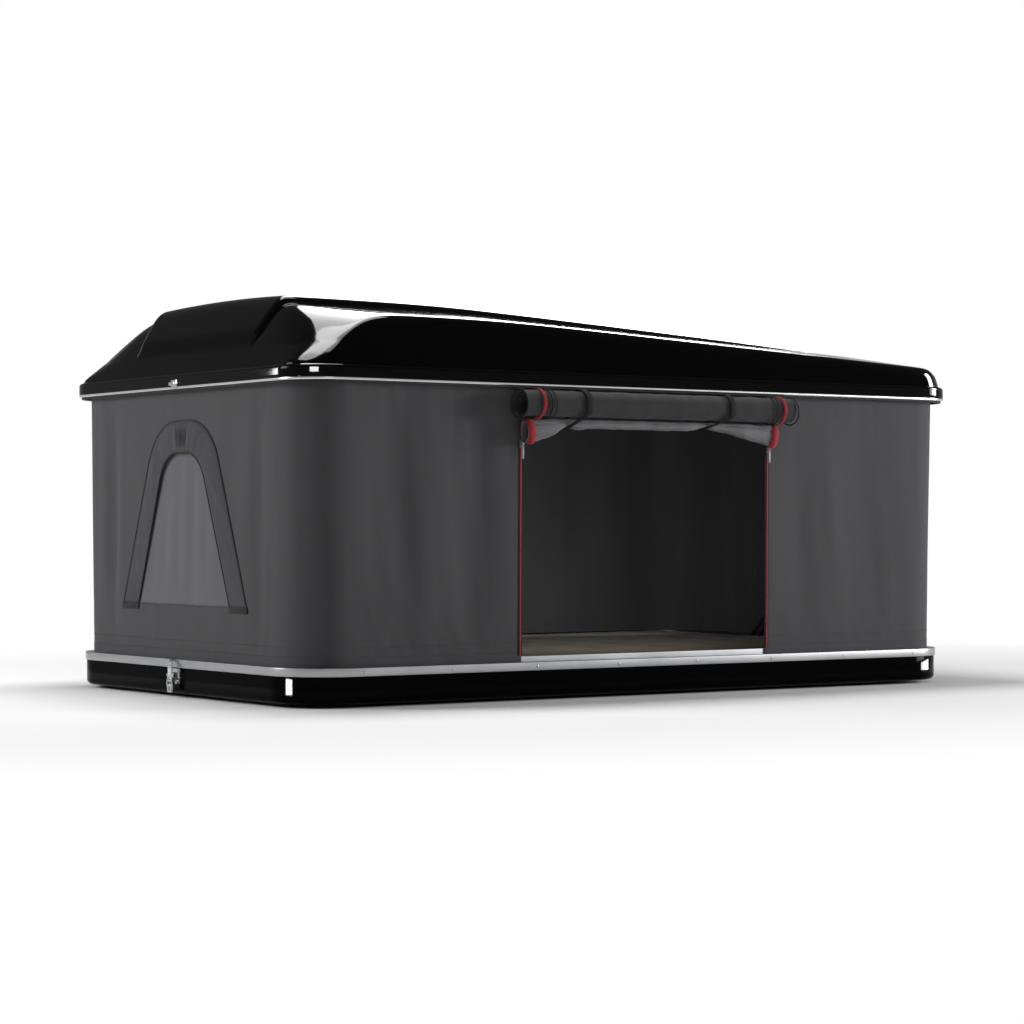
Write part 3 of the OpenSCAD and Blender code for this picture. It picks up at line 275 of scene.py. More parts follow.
class Shape:
    """Points and faces of a piece in millimetres, gathered before its mesh is made."""

    def __init__(self):
        self.points, self.faces, self.uvs, self.slots = [], [], [], []

    def grid(self, xyz, rows_closed=False, columns_closed=False, slot=0, flip=False):
        """Adds a lattice of quads, with its measured lengths as UVs in metres."""
        xyz = np.asarray(xyz, float)
        rows, columns = xyz.shape[:2]
        first = len(self.points)
        self.points.extend(xyz.reshape(-1, 3))
        across = running(xyz[rows // 2], columns_closed) * MM
        up = running(xyz[:, columns // 2], rows_closed) * MM
        for i in range(rows if rows_closed else rows - 1):
            below, above = first + i * columns, first + (i + 1) % rows * columns
            for j in range(columns if columns_closed else columns - 1):
                k = (j + 1) % columns
                face = [below + j, below + k, above + k, above + j]
                uv = [
                    (across[j], up[i]), (across[j + 1], up[i]),
                    (across[j + 1], up[i + 1]), (across[j], up[i + 1]),
                ]
                self.faces.append(face[::-1] if flip else face)
                self.uvs.extend(uv[::-1] if flip else uv)
                self.slots.append(slot)
        return first

    def face(self, indices, slot=0):
        """Adds one face over points that are there already."""
        self.faces.append(list(indices))
        self.uvs.extend((self.points[i][0] * MM, self.points[i][1] * MM) for i in indices)
        self.slots.append(slot)

    def caps(self, first, rows, count, slot=0, flip=False):
        """Closes the first and last row of a lattice that goes round."""
        last = first + (rows - 1) * count
        for start, back in ((first, not flip), (last, flip)):
            ring = range(start, start + count)
            self.face(ring[::-1] if back else ring, slot)

    def sweep(self, profile, points, normals, closed=True):
        """Carries a profile of (outwards, height) round an outline."""
        profile = np.array(profile, float)
        xyz = np.empty((len(profile), len(points), 3))
        xyz[..., :2] = points[None] + profile[:, :1, None] * normals[None]
        xyz[..., 2] = profile[:, 1:2]
        return self.grid(xyz, closed, True)

    def block(self, low, high, edge, segments=3):
        """Adds a block with rounded edges between two corners."""
        low, high = np.array(low, float), np.array(high, float)
        form = bmesh.new()
        bmesh.ops.create_cube(form, size=1)
        bmesh.ops.scale(form, vec=Vector(high - low), verts=form.verts)
        bmesh.ops.bevel(
            form, geom=form.edges[:], offset=edge, segments=segments, profile=0.5,
            affect="EDGES", clamp_overlap=True,
        )
        bmesh.ops.translate(form, vec=Vector((low + high) / 2), verts=form.verts)
        form.verts.index_update()
        first = len(self.points)
        self.points.extend(np.array(v.co) for v in form.verts)
        for f in form.faces:
            self.face([first + v.index for v in f.verts])
        form.free()
        return self

    def tube(self, path, radius, sides=10, closed=False):
        """Adds a round tube along a path."""
        path = np.asarray(path, float)
        ahead = np.roll(path, -1, axis=0) - np.roll(path, 1, axis=0)
        if not closed:
            ahead[0], ahead[-1] = path[1] - path[0], path[-1] - path[-2]
        ahead /= np.linalg.norm(ahead, axis=1)[:, None]
        # Any direction that no path here follows
        side = np.cross(ahead[0], (0.31, 0.22, 0.92))
        angles = around(sides)
        rings = []
        for point, way in zip(path, ahead):
            side = side - way * (side @ way)
            side /= np.linalg.norm(side)
            circle = np.outer(np.cos(angles), side) + np.outer(np.sin(angles), np.cross(way, side))
            rings.append(point + radius * circle)
        first = self.grid(rings, closed, True)
        if not closed:
            self.caps(first, len(path), sides)
        return self

    def piece(self, name, *coats, angle=40, mended=False):
        """Makes the object with its finishes, and turns its faces outwards if it is mended."""
        mesh = bpy.data.meshes.new(name)
        mesh.from_pydata((np.array(self.points) * MM).tolist(), [], self.faces)
        layer = mesh.uv_layers.new(name="UVMap")
        layer.data.foreach_set("uv", np.array(self.uvs, np.float32).ravel())
        mesh.polygons.foreach_set("material_index", np.array(self.slots, np.int32))
        for coat in coats:
            mesh.materials.append(finish(coat))
        smooth(mesh, angle)
        mesh.update()
        made = put(name, mesh)
        return mend(made) if mended else made


def mend(piece):
    """Merges doubles and turns every face of a closed piece outwards."""
    form = bmesh.new()
    form.from_mesh(piece.data)
    bmesh.ops.remove_doubles(form, verts=form.verts, dist=0.00002)
    bmesh.ops.recalc_face_normals(form, faces=form.faces)
    form.to_mesh(piece.data)
    form.free()
    piece.data.update()
    return piece


def baked(piece):
    """Turns a piece's modifiers into plain mesh."""
    bpy.context.view_layer.update()
    graph = bpy.context.evaluated_depsgraph_get()
    mesh = bpy.data.meshes.new_from_object(
        piece.evaluated_get(graph), preserve_all_data_layers=True, depsgraph=graph
    )
    old = piece.data
    piece.modifiers.clear()
    piece.data = mesh
    bpy.data.meshes.remove(old)
    mesh.name = piece.name
    return piece


def thickened(piece, thickness, offset=0, back=0):
    """Gives a sheet its thickness. The finish of its back is that many slots on."""
    step = piece.modifiers.new("thick", "SOLIDIFY")
    step.thickness, step.offset, step.material_offset = thickness * MM, offset, back
    return baked(piece)


def cut(piece, operation, *tools):
    """Joins or cuts a closed piece with other closed pieces, which are then removed."""
    for tool in tools:
        step = piece.modifiers.new(operation.lower(), "BOOLEAN")
        step.operation, step.solver, step.object = operation, "EXACT", tool
    baked(piece)
    for tool in tools:
        bpy.data.objects.remove(tool)


def settle(piece, body, replaced=(), fold=None):
    """Puts a finished piece on its body, hides the frame nodes that it replaces, and gives it a mesh of
    its own when a fold is given.
    """
    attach(piece, body)
    if replaced:
        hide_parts(*replaced)
    if fold:
        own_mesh(piece)


# Folds with the lift, which nothing here carries out: the walls would sink to the base's rim and the rolls
# be laid in over the mattress. settle only asks whether a piece has one.
WALL_FOLD = {"axis": (0, 0, 1), "anchor": (0, 0, RIM_TOP * MM), "keep": 0.009}
ROLL_FOLD = {"axis": (0, 0.588, 0.809), "anchor": (0, -0.5319, 0.8895), "keep": 0.2}


# Materials

VECTOR = "ShaderNodeVectorMath"
# The camera's place in metres and its turns, which the backdrop's white follows too
CAMERA_AT = (-4.3185, -6.1981, 0.4223)
CAMERA_YAW = math.radians(34.76)
CAMERA_PITCH = math.radians(0.296)


class Look:
    """A material in the making, with the nodes that most finishes share."""

    def __init__(self, name):
        self.material = bpy.data.materials.new(name)
        self.material.use_nodes = True
        self.tree = self.material.node_tree
        self.shader = self.tree.nodes["Principled BSDF"]
        self.place = add(self.tree, "ShaderNodeTexCoord").outputs

    def noise(self, scale, detail, vector=None, distortion=0.0):
        """Cloudy noise, on the object's own coordinates unless others are given."""
        vector = self.place["Object"] if vector is None else vector
        inputs = {"Scale": scale, "Detail": detail, "Distortion": distortion, "Vector": vector}
        return out(self.tree, "ShaderNodeTexNoise", inputs)

    def spread(self, coord, scale):
        """Coordinates stretched by a scale for each axis."""
        return out(self.tree, "ShaderNodeMapping", {"Scale": scale, "Vector": self.place[coord]})

    def ramp(self, value, low, high, start=0.0, end=1.0):
        """A colour that runs from low to high as the value goes from start to end."""
        made = add(self.tree, "ShaderNodeValToRGB", {"Fac": value})
        first, last = made.color_ramp.elements
        first.position, first.color = start, low
        last.position, last.color = end, high
        return made.outputs["Color"]

    def span(self, value, low, high, start=0.0, end=1.0, steps="LINEAR"):
        """A number that runs from low to high as the value goes from start to end."""
        return out(self.tree, "ShaderNodeMapRange", {
            "interpolation_type": steps, "Value": value, "From Min": start, "From Max": end,
            "To Min": low, "To Max": high,
        })

    def calc(self, operation, *given, kind="ShaderNodeMath", output=0):
        """The result of a sum on numbers or vectors."""
        return out(self.tree, kind, {"operation": operation, **dict(enumerate(given))}, output)

    def bump(self, height, strength, distance):
        """Relief in the surface, its distance in metres."""
        inputs = {"Strength": strength, "Distance": distance, "Height": height}
        return out(self.tree, "ShaderNodeBump", inputs)

    def feed(self, inputs):
        """Gives the shader its inputs, linked or as plain values, and hands out the material."""
        give(self.tree, self.shader, inputs)
        return self.material


def gelcoat(name, gleam):
    """Moulded polyester gel-coat: deep black and polished. Swirls and dust break up the gloss at
    about 30 mm, and orange peel of about 12 mm is a few micrometres high. Gleam is how much it
    mirrors straight on, which is little on the deep black of the photograph."""
    look = Look(name)
    return look.feed({
        "Base Color": look.ramp(look.noise(9.0, 4.0), shade("gelcoat", 0.8), shade("gelcoat", 1.3)),
        "Roughness": look.span(look.noise(33.0, 6.0), 0.035, 0.075),
        "Normal": look.bump(look.noise(80.0, 1.0), 0.025, 0.001),
        "Specular IOR Level": gleam,
    })


def brushed_metal(name, colour, rough, contrast=0.12, coord="UV", stretch=(1.5, 700.0, 1.0)):
    """Drawn aluminium: fine lines along the length give a soft, stretched shine."""
    look = Look(name)
    lines = look.noise(1.0, 3.0, look.spread(coord, stretch))
    low, high = shade(colour, 1 - contrast), shade(colour, 1 + contrast / 2)
    return look.feed({
        "Base Color": look.ramp(lines, low, high, 0.3, 0.7),
        "Roughness": look.span(look.noise(14.0, 5.0), rough * 0.75, rough * 1.3),
        "Normal": look.bump(lines, 0.06, 0.0005),
        "Metallic": 1.0,
    })


def cast_metal(name, colour, rough, grain=160.0, height=0.08):
    """Cast or plated metal: an even, lightly pitted skin that is duller in places."""
    look = Look(name)
    stain = look.noise(grain / 8, 4.0)
    return look.feed({
        "Base Color": look.ramp(stain, shade(colour, 0.8), shade(colour, 1.1)),
        "Roughness": look.span(stain, rough * 0.7, rough * 1.4),
        "Normal": look.bump(look.noise(grain, 4.0), height, 0.0005),
        "Metallic": 1.0,
    })


def moulded(name, colour, rough, grain=300.0, height=0.1):
    """Moulded plastic or rubber: a fine even grain under a dull skin."""
    look = Look(name)
    rub = look.noise(22.0, 4.0)
    return look.feed({
        "Base Color": look.ramp(rub, shade(colour, 0.8), shade(colour, 1.25)),
        "Roughness": look.span(rub, rough * 0.85, rough * 1.15),
        "Normal": look.bump(look.noise(grain, 3.0), height, 0.0006),
    })


def woven(name, colour, thread, rough=0.85, sheen=0.12, streak=0.09, relief=0.35, gaps=0.0):
    """Plain-woven cloth on its own UVs: warp and weft in relief, with a soft sheen. Thread is the
    drawn spacing in millimetres, about three times the real one so that the weave shows close up.
    Its colour runs lighter and darker in streaks some 60 mm wide down the cloth: painted light and shade
    of soft upright folds."""
    look = Look(name)
    # At a scale of 1 a wave texture's bands are a twentieth of TURN apart
    scale = TURN / 20 / (thread * MM)
    yarns = {"Scale": scale, "Distortion": 0.4, "Detail": 1.0, "Vector": look.place["UV"]}
    warp, weft = (
        out(look.tree, "ShaderNodeTexWave", {"bands_direction": axis, **yarns}, "Fac") for axis in "XY"
    )
    weave = look.calc("MULTIPLY", warp, weft)
    # Painted light and shade of soft upright folds, in streaks down the cloth
    fold_shade_streaks = look.noise(1.0, 5.0, look.spread("UV", (16.0, 2.5, 1.0)))
    tone = look.ramp(fold_shade_streaks, shade(colour, 1 - streak), shade(colour, 1 + streak), 0.25, 0.75)
    # Painted shade in the hollows between the yarns, deeper where the weave has open gaps
    hollow = 0.82 * (1 - gaps)
    yarn = look.ramp(weave, (hollow, hollow, hollow, 1), (1, 1, 1, 1))
    mix = {"data_type": "RGBA", "blend_type": "MULTIPLY", 0: 1.0, 6: tone, 7: yarn}
    return look.feed({
        "Base Color": out(look.tree, "ShaderNodeMix", mix, 2),
        "Roughness": rough,
        "Normal": look.bump(weave, relief, 0.0008),
        "Specular IOR Level": 0.25,
        "Sheen Weight": sheen,
        "Sheen Roughness": 0.45,
    })


def plywood(name):
    """Birch plywood: long pale grain lines under a thin varnish."""
    look = Look(name)
    grain = look.noise(2.0, 8.0, look.spread("Object", (1.2, 26.0, 26.0)), 0.6)
    return look.feed({
        "Base Color": look.ramp(grain, shade("#9A7B54"), shade("#CDB288"), 0.3),
        "Roughness": 0.5,
        "Normal": look.bump(grain, 0.1, 0.0006),
    })


def felt(name):
    """Needled liner felt inside the roof: matt, mottled and slightly hairy."""
    look = Look(name)
    hair = look.noise(420.0, 6.0, None, 1.5)
    return look.feed({
        "Base Color": look.ramp(hair, shade("#1E1E20"), shade("#3A3A3D")),
        "Roughness": 0.95,
        "Normal": look.bump(hair, 0.3, 0.001),
        "Sheen Weight": 0.2,
    })


def backdrop(name):
    """Matt paper: takes the tent's shadow close by and is plain white further off."""
    look = Look(name)
    place = look.place["Object"]
    flat = look.calc("MULTIPLY", place, (0.72, 1.0, 0.0), kind=VECTOR)
    far = look.calc("LENGTH", flat, kind=VECTOR, output="Value")
    away = look.span(far, 0.0, 1.0, 0.9, 2.6, "SMOOTHSTEP")
    # White where the camera looks, pale grey beyond its picture
    apart = look.calc("SUBTRACT", place, (*CAMERA_AT[:2], 0.0), kind=VECTOR)
    level = look.calc("MULTIPLY", apart, (1.0, 1.0, 0.0), kind=VECTOR)
    ahead = look.calc("NORMALIZE", level, kind=VECTOR)
    sight = (math.sin(CAMERA_YAW), math.cos(CAMERA_YAW), 0.0)
    facing = look.calc("DOT_PRODUCT", ahead, sight, kind=VECTOR, output="Value")
    rays = add(look.tree, "ShaderNodeLightPath").outputs
    dim = look.span(rays["Is Camera Ray"], 0.5, 0.84)
    # In the gloss the backdrop goes dark above the tent, as a studio's ceiling does
    height = out(look.tree, "ShaderNodeSeparateXYZ", {"Vector": place}, "Z")
    low = look.span(height, 1.0, 0.05, 1.6, 2.6)
    high = look.calc("MAXIMUM", rays["Is Camera Ray"], low)
    tone = look.span(facing, dim, high, 0.95, 0.976, "SMOOTHSTEP")
    seen = look.calc("MAXIMUM", rays["Is Camera Ray"], rays["Is Glossy Ray"])
    seen = look.calc("MAXIMUM", seen, rays["Is Transmission Ray"])
    share = look.calc("MULTIPLY", seen, away)
    white = out(look.tree, "ShaderNodeEmission", {"Strength": tone})
    parts = {0: share, 1: look.shader.outputs["BSDF"], 2: white}
    mixed = out(look.tree, "ShaderNodeMixShader", parts)
    look.tree.links.new(mixed, look.tree.nodes["Material Output"].inputs["Surface"])
    return look.feed({"Base Color": shade("floor"), "Roughness": 0.9, "Specular IOR Level": 0.0})


# Each finish's maker and what it is given: the material's name, its colour and its looks
FINISHES = {
    "floor": (backdrop, "backdrop_paper"),
    "gelcoat": (gelcoat, "gelcoat_black", 0.07),
    "tray_gelcoat": (gelcoat, "gelcoat_black_base", 0.02),
    "felt": (felt, "liner_felt"),
    "plywood": (plywood, "birch_plywood"),
    "rim": (brushed_metal, "anodised_rim", "rim", 0.34),
    "trim": (brushed_metal, "polished_trim", "trim", 0.2, 0.06),
    "mill": (brushed_metal, "mill_aluminium", "#B4B6B8", 0.4, 0.12, "Object", (3.0, 260.0, 260.0)),
    "arm": (brushed_metal, "anodised_arm", "#8E9092", 0.38, 0.12, "Object", (260.0, 6.0, 260.0)),
    "steel": (cast_metal, "zinc_plated_steel", "#8B8E92", 0.35),
    "gearbox": (cast_metal, "die_cast_zinc", "#77797C", 0.5, 220.0, 0.2),
    "bronze": (cast_metal, "turned_bronze", "#A27C46", 0.3),
    "chrome": (cast_metal, "chromed_steel", "#D2D4D6", 0.14, 90.0, 0.03),
    "nylon": (moulded, "moulded_nylon", "#1A1A1B", 0.5),
    "rubber": (moulded, "seal_rubber", "#0C0C0D", 0.7),
    "teeth": (moulded, "zip_coil_nylon", "#9E272D", 0.5, 500.0, 0.05),
    "thread": (moulded, "polyester_thread", "#3C3C3E", 0.7, 900.0),
    "canvas": (woven, "coated_canvas", "canvas", 2.2),
    "canvas_back": (woven, "canvas_inside", "canvas_back", 2.2, 0.8, 0.05),
    "hood": (woven, "hood_canvas", "hood", 2.2, 0.85, 0.12, 0.15),
    "binding": (woven, "binding_tape", "#222223", 1.6, 0.8, 0.1),
    "net": (woven, "insect_net", "net", 2.6, 0.75, 0.1, 0.12, 0.5, 0.35),
    # Lighter and more streaked than the window net: painted highlights on the crumpled roll
    "roll_net": (woven, "rolled_insect_net", "roll_net", 2.6, 0.75, 0.15, 0.3, 0.5, 0.3),
    # The rolled door is the wall canvas painted darker: painted shade under the roof's edge
    "roll": (woven, "rolled_canvas", "#323234", 2.2),
    "zip": (woven, "zip_tape", "zip", 1.4, 0.7, 0.1, 0.1),
    "webbing": (woven, "nylon_webbing", "#0C0C0D", 2.0, 0.7, 0.02, 0.1, 0.6),
    "bed": (woven, "mattress_ticking", "bed", 2.4, 0.9, 0.05, 0.12),
}
MADE = {}


def finish(name):
    """The finish with that name, made once."""
    if name not in MADE:
        maker, *given = FINISHES[name]
        MADE[name] = maker(*given)
    return MADE[name]


# The finish of each of the record's slots, for the frame's own nodes
SLOT_FINISH = {
    "gelcoat_black": "gelcoat",
    "rim_aluminium": "mill",
    "trim_bright": "mill",
    "floor_board": "plywood",
    "mattress_cover": "bed",
    "arm_alloy": "arm",
    "mechanism_steel": "steel",
    "gearbox_alloy": "gearbox",
    "nut_bronze": "bronze",
    "nylon": "nylon",
    "latch_chrome": "chrome",
    "wall_canvas": "canvas",
    "mesh_net": "net",
    "zip_red": "zip",
    "strap_black": "webbing",
    "seal_rubber": "rubber",
}


# Geometry nodes

ROLL_COLUMNS = 90


def new_tree(name, **sockets):
    """A node group with those inputs and one geometry result, and the inputs' sockets."""
    tree = bpy.data.node_groups.new(name, "GeometryNodeTree")
    for socket, kind in sockets.items():
        tree.interface.new_socket(socket, in_out="INPUT", socket_type="NodeSocket" + kind)
    tree.interface.new_socket("Result", in_out="OUTPUT", socket_type="NodeSocketGeometry")
    return tree, add(tree, "NodeGroupInput").outputs


def end_tree(tree, geometry, coat):
    """Ends a tree in real meshes that have their finish."""
    real = out(tree, "GeometryNodeRealizeInstances", {"Geometry": geometry})
    coated = out(tree, "GeometryNodeSetMaterial", {"Geometry": real, "Material": coat})
    add(tree, "NodeGroupOutput", {"Result": coated})
    return tree


def run_tree(name, turned):
    """Nodes that set one small shape along every path of a mesh, turned to the path or not."""
    tree, given = new_tree(name, Paths="Geometry", Shape="Object", Pitch="Float", Finish="Material")
    path = out(tree, "GeometryNodeMeshToCurve", {"Mesh": given["Paths"]})
    measure = {"mode": "LENGTH", "Curve": path, "Length": given["Pitch"]}
    spots = add(tree, "GeometryNodeCurveToPoints", measure).outputs
    shape = out(tree, "GeometryNodeObjectInfo", {"Object": given["Shape"]}, "Geometry")
    inputs = {"Points": spots["Points"], "Instance": shape}
    if turned:
        inputs["Rotation"] = spots["Rotation"]
    return end_tree(tree, out(tree, "GeometryNodeInstanceOnPoints", inputs), given["Finish"])


def roll_tree():
    """Nodes for cloth wound into a spiral roll: a spiral carried along a line, with slight
    waves, and its run and length kept as a UV map."""
    tree, given = new_tree(
        "rolled_cloth", Start="Geometry", Turns="Float", Core="Float", Radius="Float", Length="Float",
        Wave="Float", Wound="Float", Recess="Float", Steps="Int", Finish="Material",
    )
    spiral = out(tree, "GeometryNodeCurveSpiral", {
        "Height": 0.0, "Resolution": given["Steps"], "Rotations": given["Turns"],
        "Start Radius": given["Core"], "End Radius": given["Radius"],
    })
    reach = out(tree, "ShaderNodeCombineXYZ", {"X": given["Length"]})
    straight = out(tree, "GeometryNodeCurvePrimitiveLine", {"End": reach})
    fine = out(tree, "GeometryNodeResampleCurve", {"Count": ROLL_COLUMNS, "Curve": straight})
    kept = []
    for curve in (spiral, fine):
        held = add(tree, "GeometryNodeCaptureAttribute", {"domain": "POINT", "Geometry": curve})
        held.capture_items.new("FLOAT", "Run")
        run = out(tree, "GeometryNodeSplineParameter", None, "Length")
        tree.links.new(run, held.inputs["Run"])
        kept.append(held.outputs)
    wound, along = kept
    swept = out(tree, "GeometryNodeCurveToMesh", {
        "Fill Caps": False, "Curve": along["Geometry"], "Profile Curve": wound["Geometry"],
    })
    uv = out(tree, "ShaderNodeCombineXYZ", {"X": along["Run"], "Y": wound["Run"]})
    mapped = out(tree, "GeometryNodeStoreNamedAttribute", {
        "data_type": "FLOAT2", "domain": "CORNER", "Name": "UVMap", "Geometry": swept, "Value": uv,
    })
    spot = out(tree, "GeometryNodeInputPosition")
    noise = out(tree, "ShaderNodeTexNoise", {
        "noise_dimensions": "3D", "Scale": 24.0, "Detail": 2.0, "Vector": spot,
    })
    level = out(tree, "ShaderNodeMath", {"operation": "SUBTRACT", 0: noise, 1: 0.5})
    deep = out(tree, "ShaderNodeMath", {"operation": "MULTIPLY", 0: level, 1: given["Wave"]})
    facing = out(tree, "GeometryNodeInputNormal", None, "Normal")
    push = out(tree, VECTOR, {"operation": "SCALE", 0: facing, "Scale": deep})
    # The inner turns end short of the outer one, so both ends are hollow
    place = out(tree, "ShaderNodeSeparateXYZ", {"Vector": spot}, "X")
    side = out(tree, "ShaderNodeMapRange", {
        "To Min": 1.0, "To Max": -1.0, "Value": place, "From Max": given["Length"],
    })
    within = out(tree, "ShaderNodeMapRange", {
        "To Max": 0.0, "Value": wound["Run"], "From Max": given["Wound"], "To Min": given["Recess"],
    })
    drawn = out(tree, "ShaderNodeMath", {"operation": "MULTIPLY", 0: side, 1: within})
    inward = out(tree, "ShaderNodeCombineXYZ", {"X": drawn})
    shift = out(tree, VECTOR, {"operation": "ADD", 0: push, 1: inward})
    waved = out(tree, "GeometryNodeSetPosition", {"Geometry": mapped, "Offset": shift})
    return end_tree(tree, waved, given["Finish"])


def set_inputs(modifier, values):
    """Sets a node modifier's inputs by the identifiers of their sockets."""
    for item in modifier.node_group.interface.items_tree:
        if item.item_type == "SOCKET" and item.in_out == "INPUT" and item.name in values:
            modifier[item.identifier] = values[item.name]


def lines_object(name, paths):
    """An object of plain edges along the paths, in millimetres."""
    points, edges = [], []
    for path in paths:
        first = len(points)
        points.extend((np.asarray(path, float) * MM).tolist())
        edges.extend((first + i, first + i + 1) for i in range(len(path) - 1))
    mesh = bpy.data.meshes.new(name)
    mesh.from_pydata(points, edges, [])
    return put(name, mesh)


def run_along(name, paths, source, pitch, coat, turned=False):
    """A piece of one small shape repeated along paths."""
    made = lines_object(name, paths)
    step = made.modifiers.new("run", "NODES")
    step.node_group = run_tree(name + "_run", turned)
    set_inputs(step, {"Shape": source, "Pitch": pitch * MM, "Finish": finish(coat)})
    baked(made)
    bpy.data.objects.remove(source)
    smooth(made.data, 40)
    return made


def sew(name, paths):
    """Stitches along paths on the walls, each a short thread that dips at both ends."""
    path = [(0.25 * (1 - s * s), 0, 1.9 * s) for s in np.linspace(-1, 1, 5)]
    stitch = Shape().tube(path, 0.55, 5).piece("stitch", "thread")
    made = run_along(name, paths, stitch, mm("stitch_pitch"), "thread", True)
    settle(made, "base", fold=WALL_FOLD)


# Roof

LEDGE_W = 12
LEDGE_H = 6
FLANGE_H = 25
ROOF_T = 5
ROOF_R = 118
DOME_HX = TRIM_HIGH[0] - LEDGE_W
DOME_HY = TRIM_HIGH[1] - LEDGE_W
DOME_R = ROOF_R - LEDGE_W
FLANGE_Z = TRIM_HIGH[2]
LEDGE_Z = FLANGE_Z + FLANGE_H + LEDGE_H
# Rise over run of the roof's sides and ends
SIDE_SLOPE = 3.4
FRONT_SLOPE = 1.49
REAR_SLOPE = 1.3
# The front hips' run over rise, their turn from the tent's length, and how far out they start
HIP_RUN = 1.15
HIP_TURN = math.radians(38)
HIP_OUT = 3
# The top's crown, and the length over which it turns from level to falling
CROWN = 8
TOP_BEND = 150
# Softness of the edges between planes, and how much softer the hips and the thin end are
EDGE_SOFT = 12
EDGE_SOFTER = 8
# The raised panel's step: how far outside the panel's half width it starts, and its width
STEP_OUT = 4
STEP_W = 36
# Where edges get softer: out on the hips, along the hips, and at the thin end
HIPS_WIDE = (300, 470)
HIPS_ALONG = (420, 210)
TAIL_ALONG = (1880, 2030)
# The panel's taper down the front, where the panel rises to its full height, and where it sinks
TAPER = 0.22
TAPER_ALONG = (420, 260)
TAPER_Z = 140
PANEL_FOOT_Z = (52, 84)
PANEL_FULL = (420, 700)
PANEL_START = 250


def dome_height(x, y):
    """Height of the roof's outer face above its ledge: the lowest of its side, end, hip and top
    planes with softened edges, and the raised panel on top."""
    wide, along, panel = np.abs(y), x + DOME_HX, mm("panel_half")
    qx, qy = np.abs(x) - DOME_HX + DOME_R, wide - DOME_HY + DOME_R
    beyond = np.hypot(np.maximum(qx, 0), np.maximum(qy, 0))
    inset = DOME_R - beyond - np.minimum(np.maximum(qx, qy), 0)
    across, ahead = math.sin(HIP_TURN), math.cos(HIP_TURN)
    reach = (DOME_HX - DOME_R) * ahead + (DOME_HY - DOME_R) * across + DOME_R + HIP_OUT
    u = along - mm("dome_flat")
    top = mm("dome_h") - sizes().dome_fall * (u + np.hypot(u, TOP_BEND)) / 2
    top = top + CROWN * np.maximum(0, 1 - (y / panel) ** 2)
    top = top - sizes().shoulder_fall * np.maximum(0, wide - panel)
    planes = np.stack([
        SIDE_SLOPE * inset,
        FRONT_SLOPE * along,
        REAR_SLOPE * (DOME_HX - x),
        (reach + x * ahead - wide * across) / HIP_RUN,
        top,
    ])
    low = planes.min(axis=0)
    hips = eased(wide, *HIPS_WIDE) * eased(along, *HIPS_ALONG)
    round_off = hips + eased(along, *TAIL_ALONG)
    soft = (EDGE_SOFT + EDGE_SOFTER * round_off) * np.clip(low / 60, 0.001, 1)
    base = low - soft * np.log(np.exp((low - planes) / soft).sum(axis=0))
    # The panel is narrower down the front, and sinks into the top towards the thin end
    half = panel - TAPER * eased(along, *TAPER_ALONG) * np.maximum(0, TAPER_Z - base)
    rise = 1 - (1 - np.clip((half + STEP_OUT - wide) / STEP_W, 0, 1)) ** 4
    left = np.clip((mm("panel_l") - along) / (mm("panel_l") - PANEL_START), 0, 1)
    full = np.maximum(eased(base, *PANEL_FOOT_Z), eased(along, *PANEL_FULL))
    rise = rise * np.sqrt(left) * full
    return base + mm("panel_rise") * rise


def dome_grid():
    """Places where the roof is drawn, closest together at its edges and at the panel's step."""
    end_l = 175
    end = end_l * np.linspace(0, 1, 46, endpoint=False) ** 1.3
    middle = np.linspace(end_l - DOME_HX, DOME_HX - end_l, 110)
    xs = np.concatenate([end - DOME_HX, middle, (DOME_HX - end)[::-1]])
    step, edge, inside = mm("panel_half") / DOME_HY, 6 / DOME_HY, STEP_W / DOME_HY
    half = np.concatenate([
        np.linspace(0, step - inside, 14, endpoint=False),
        step + edge - (edge + inside) * np.linspace(1, 0, 22, endpoint=False) ** 1.5,
        1 - (1 - step - edge) * (1 - np.linspace(0, 1, 42)) ** 1.6,
    ])
    rows = np.concatenate([-half[:0:-1], half])
    corner = np.maximum(0, np.abs(xs) - DOME_HX + DOME_R)
    wide = DOME_HY - DOME_R + np.sqrt(np.maximum(0, DOME_R**2 - corner**2))
    return np.repeat(xs[:, None], len(rows), axis=1), rows[None, :] * wide[:, None]


def gloss_pieces():
    """The polished shells, which alone take the strips' reflections."""
    return bpy.data.collections.get("gloss_pieces") or bpy.data.collections.new("gloss_pieces")


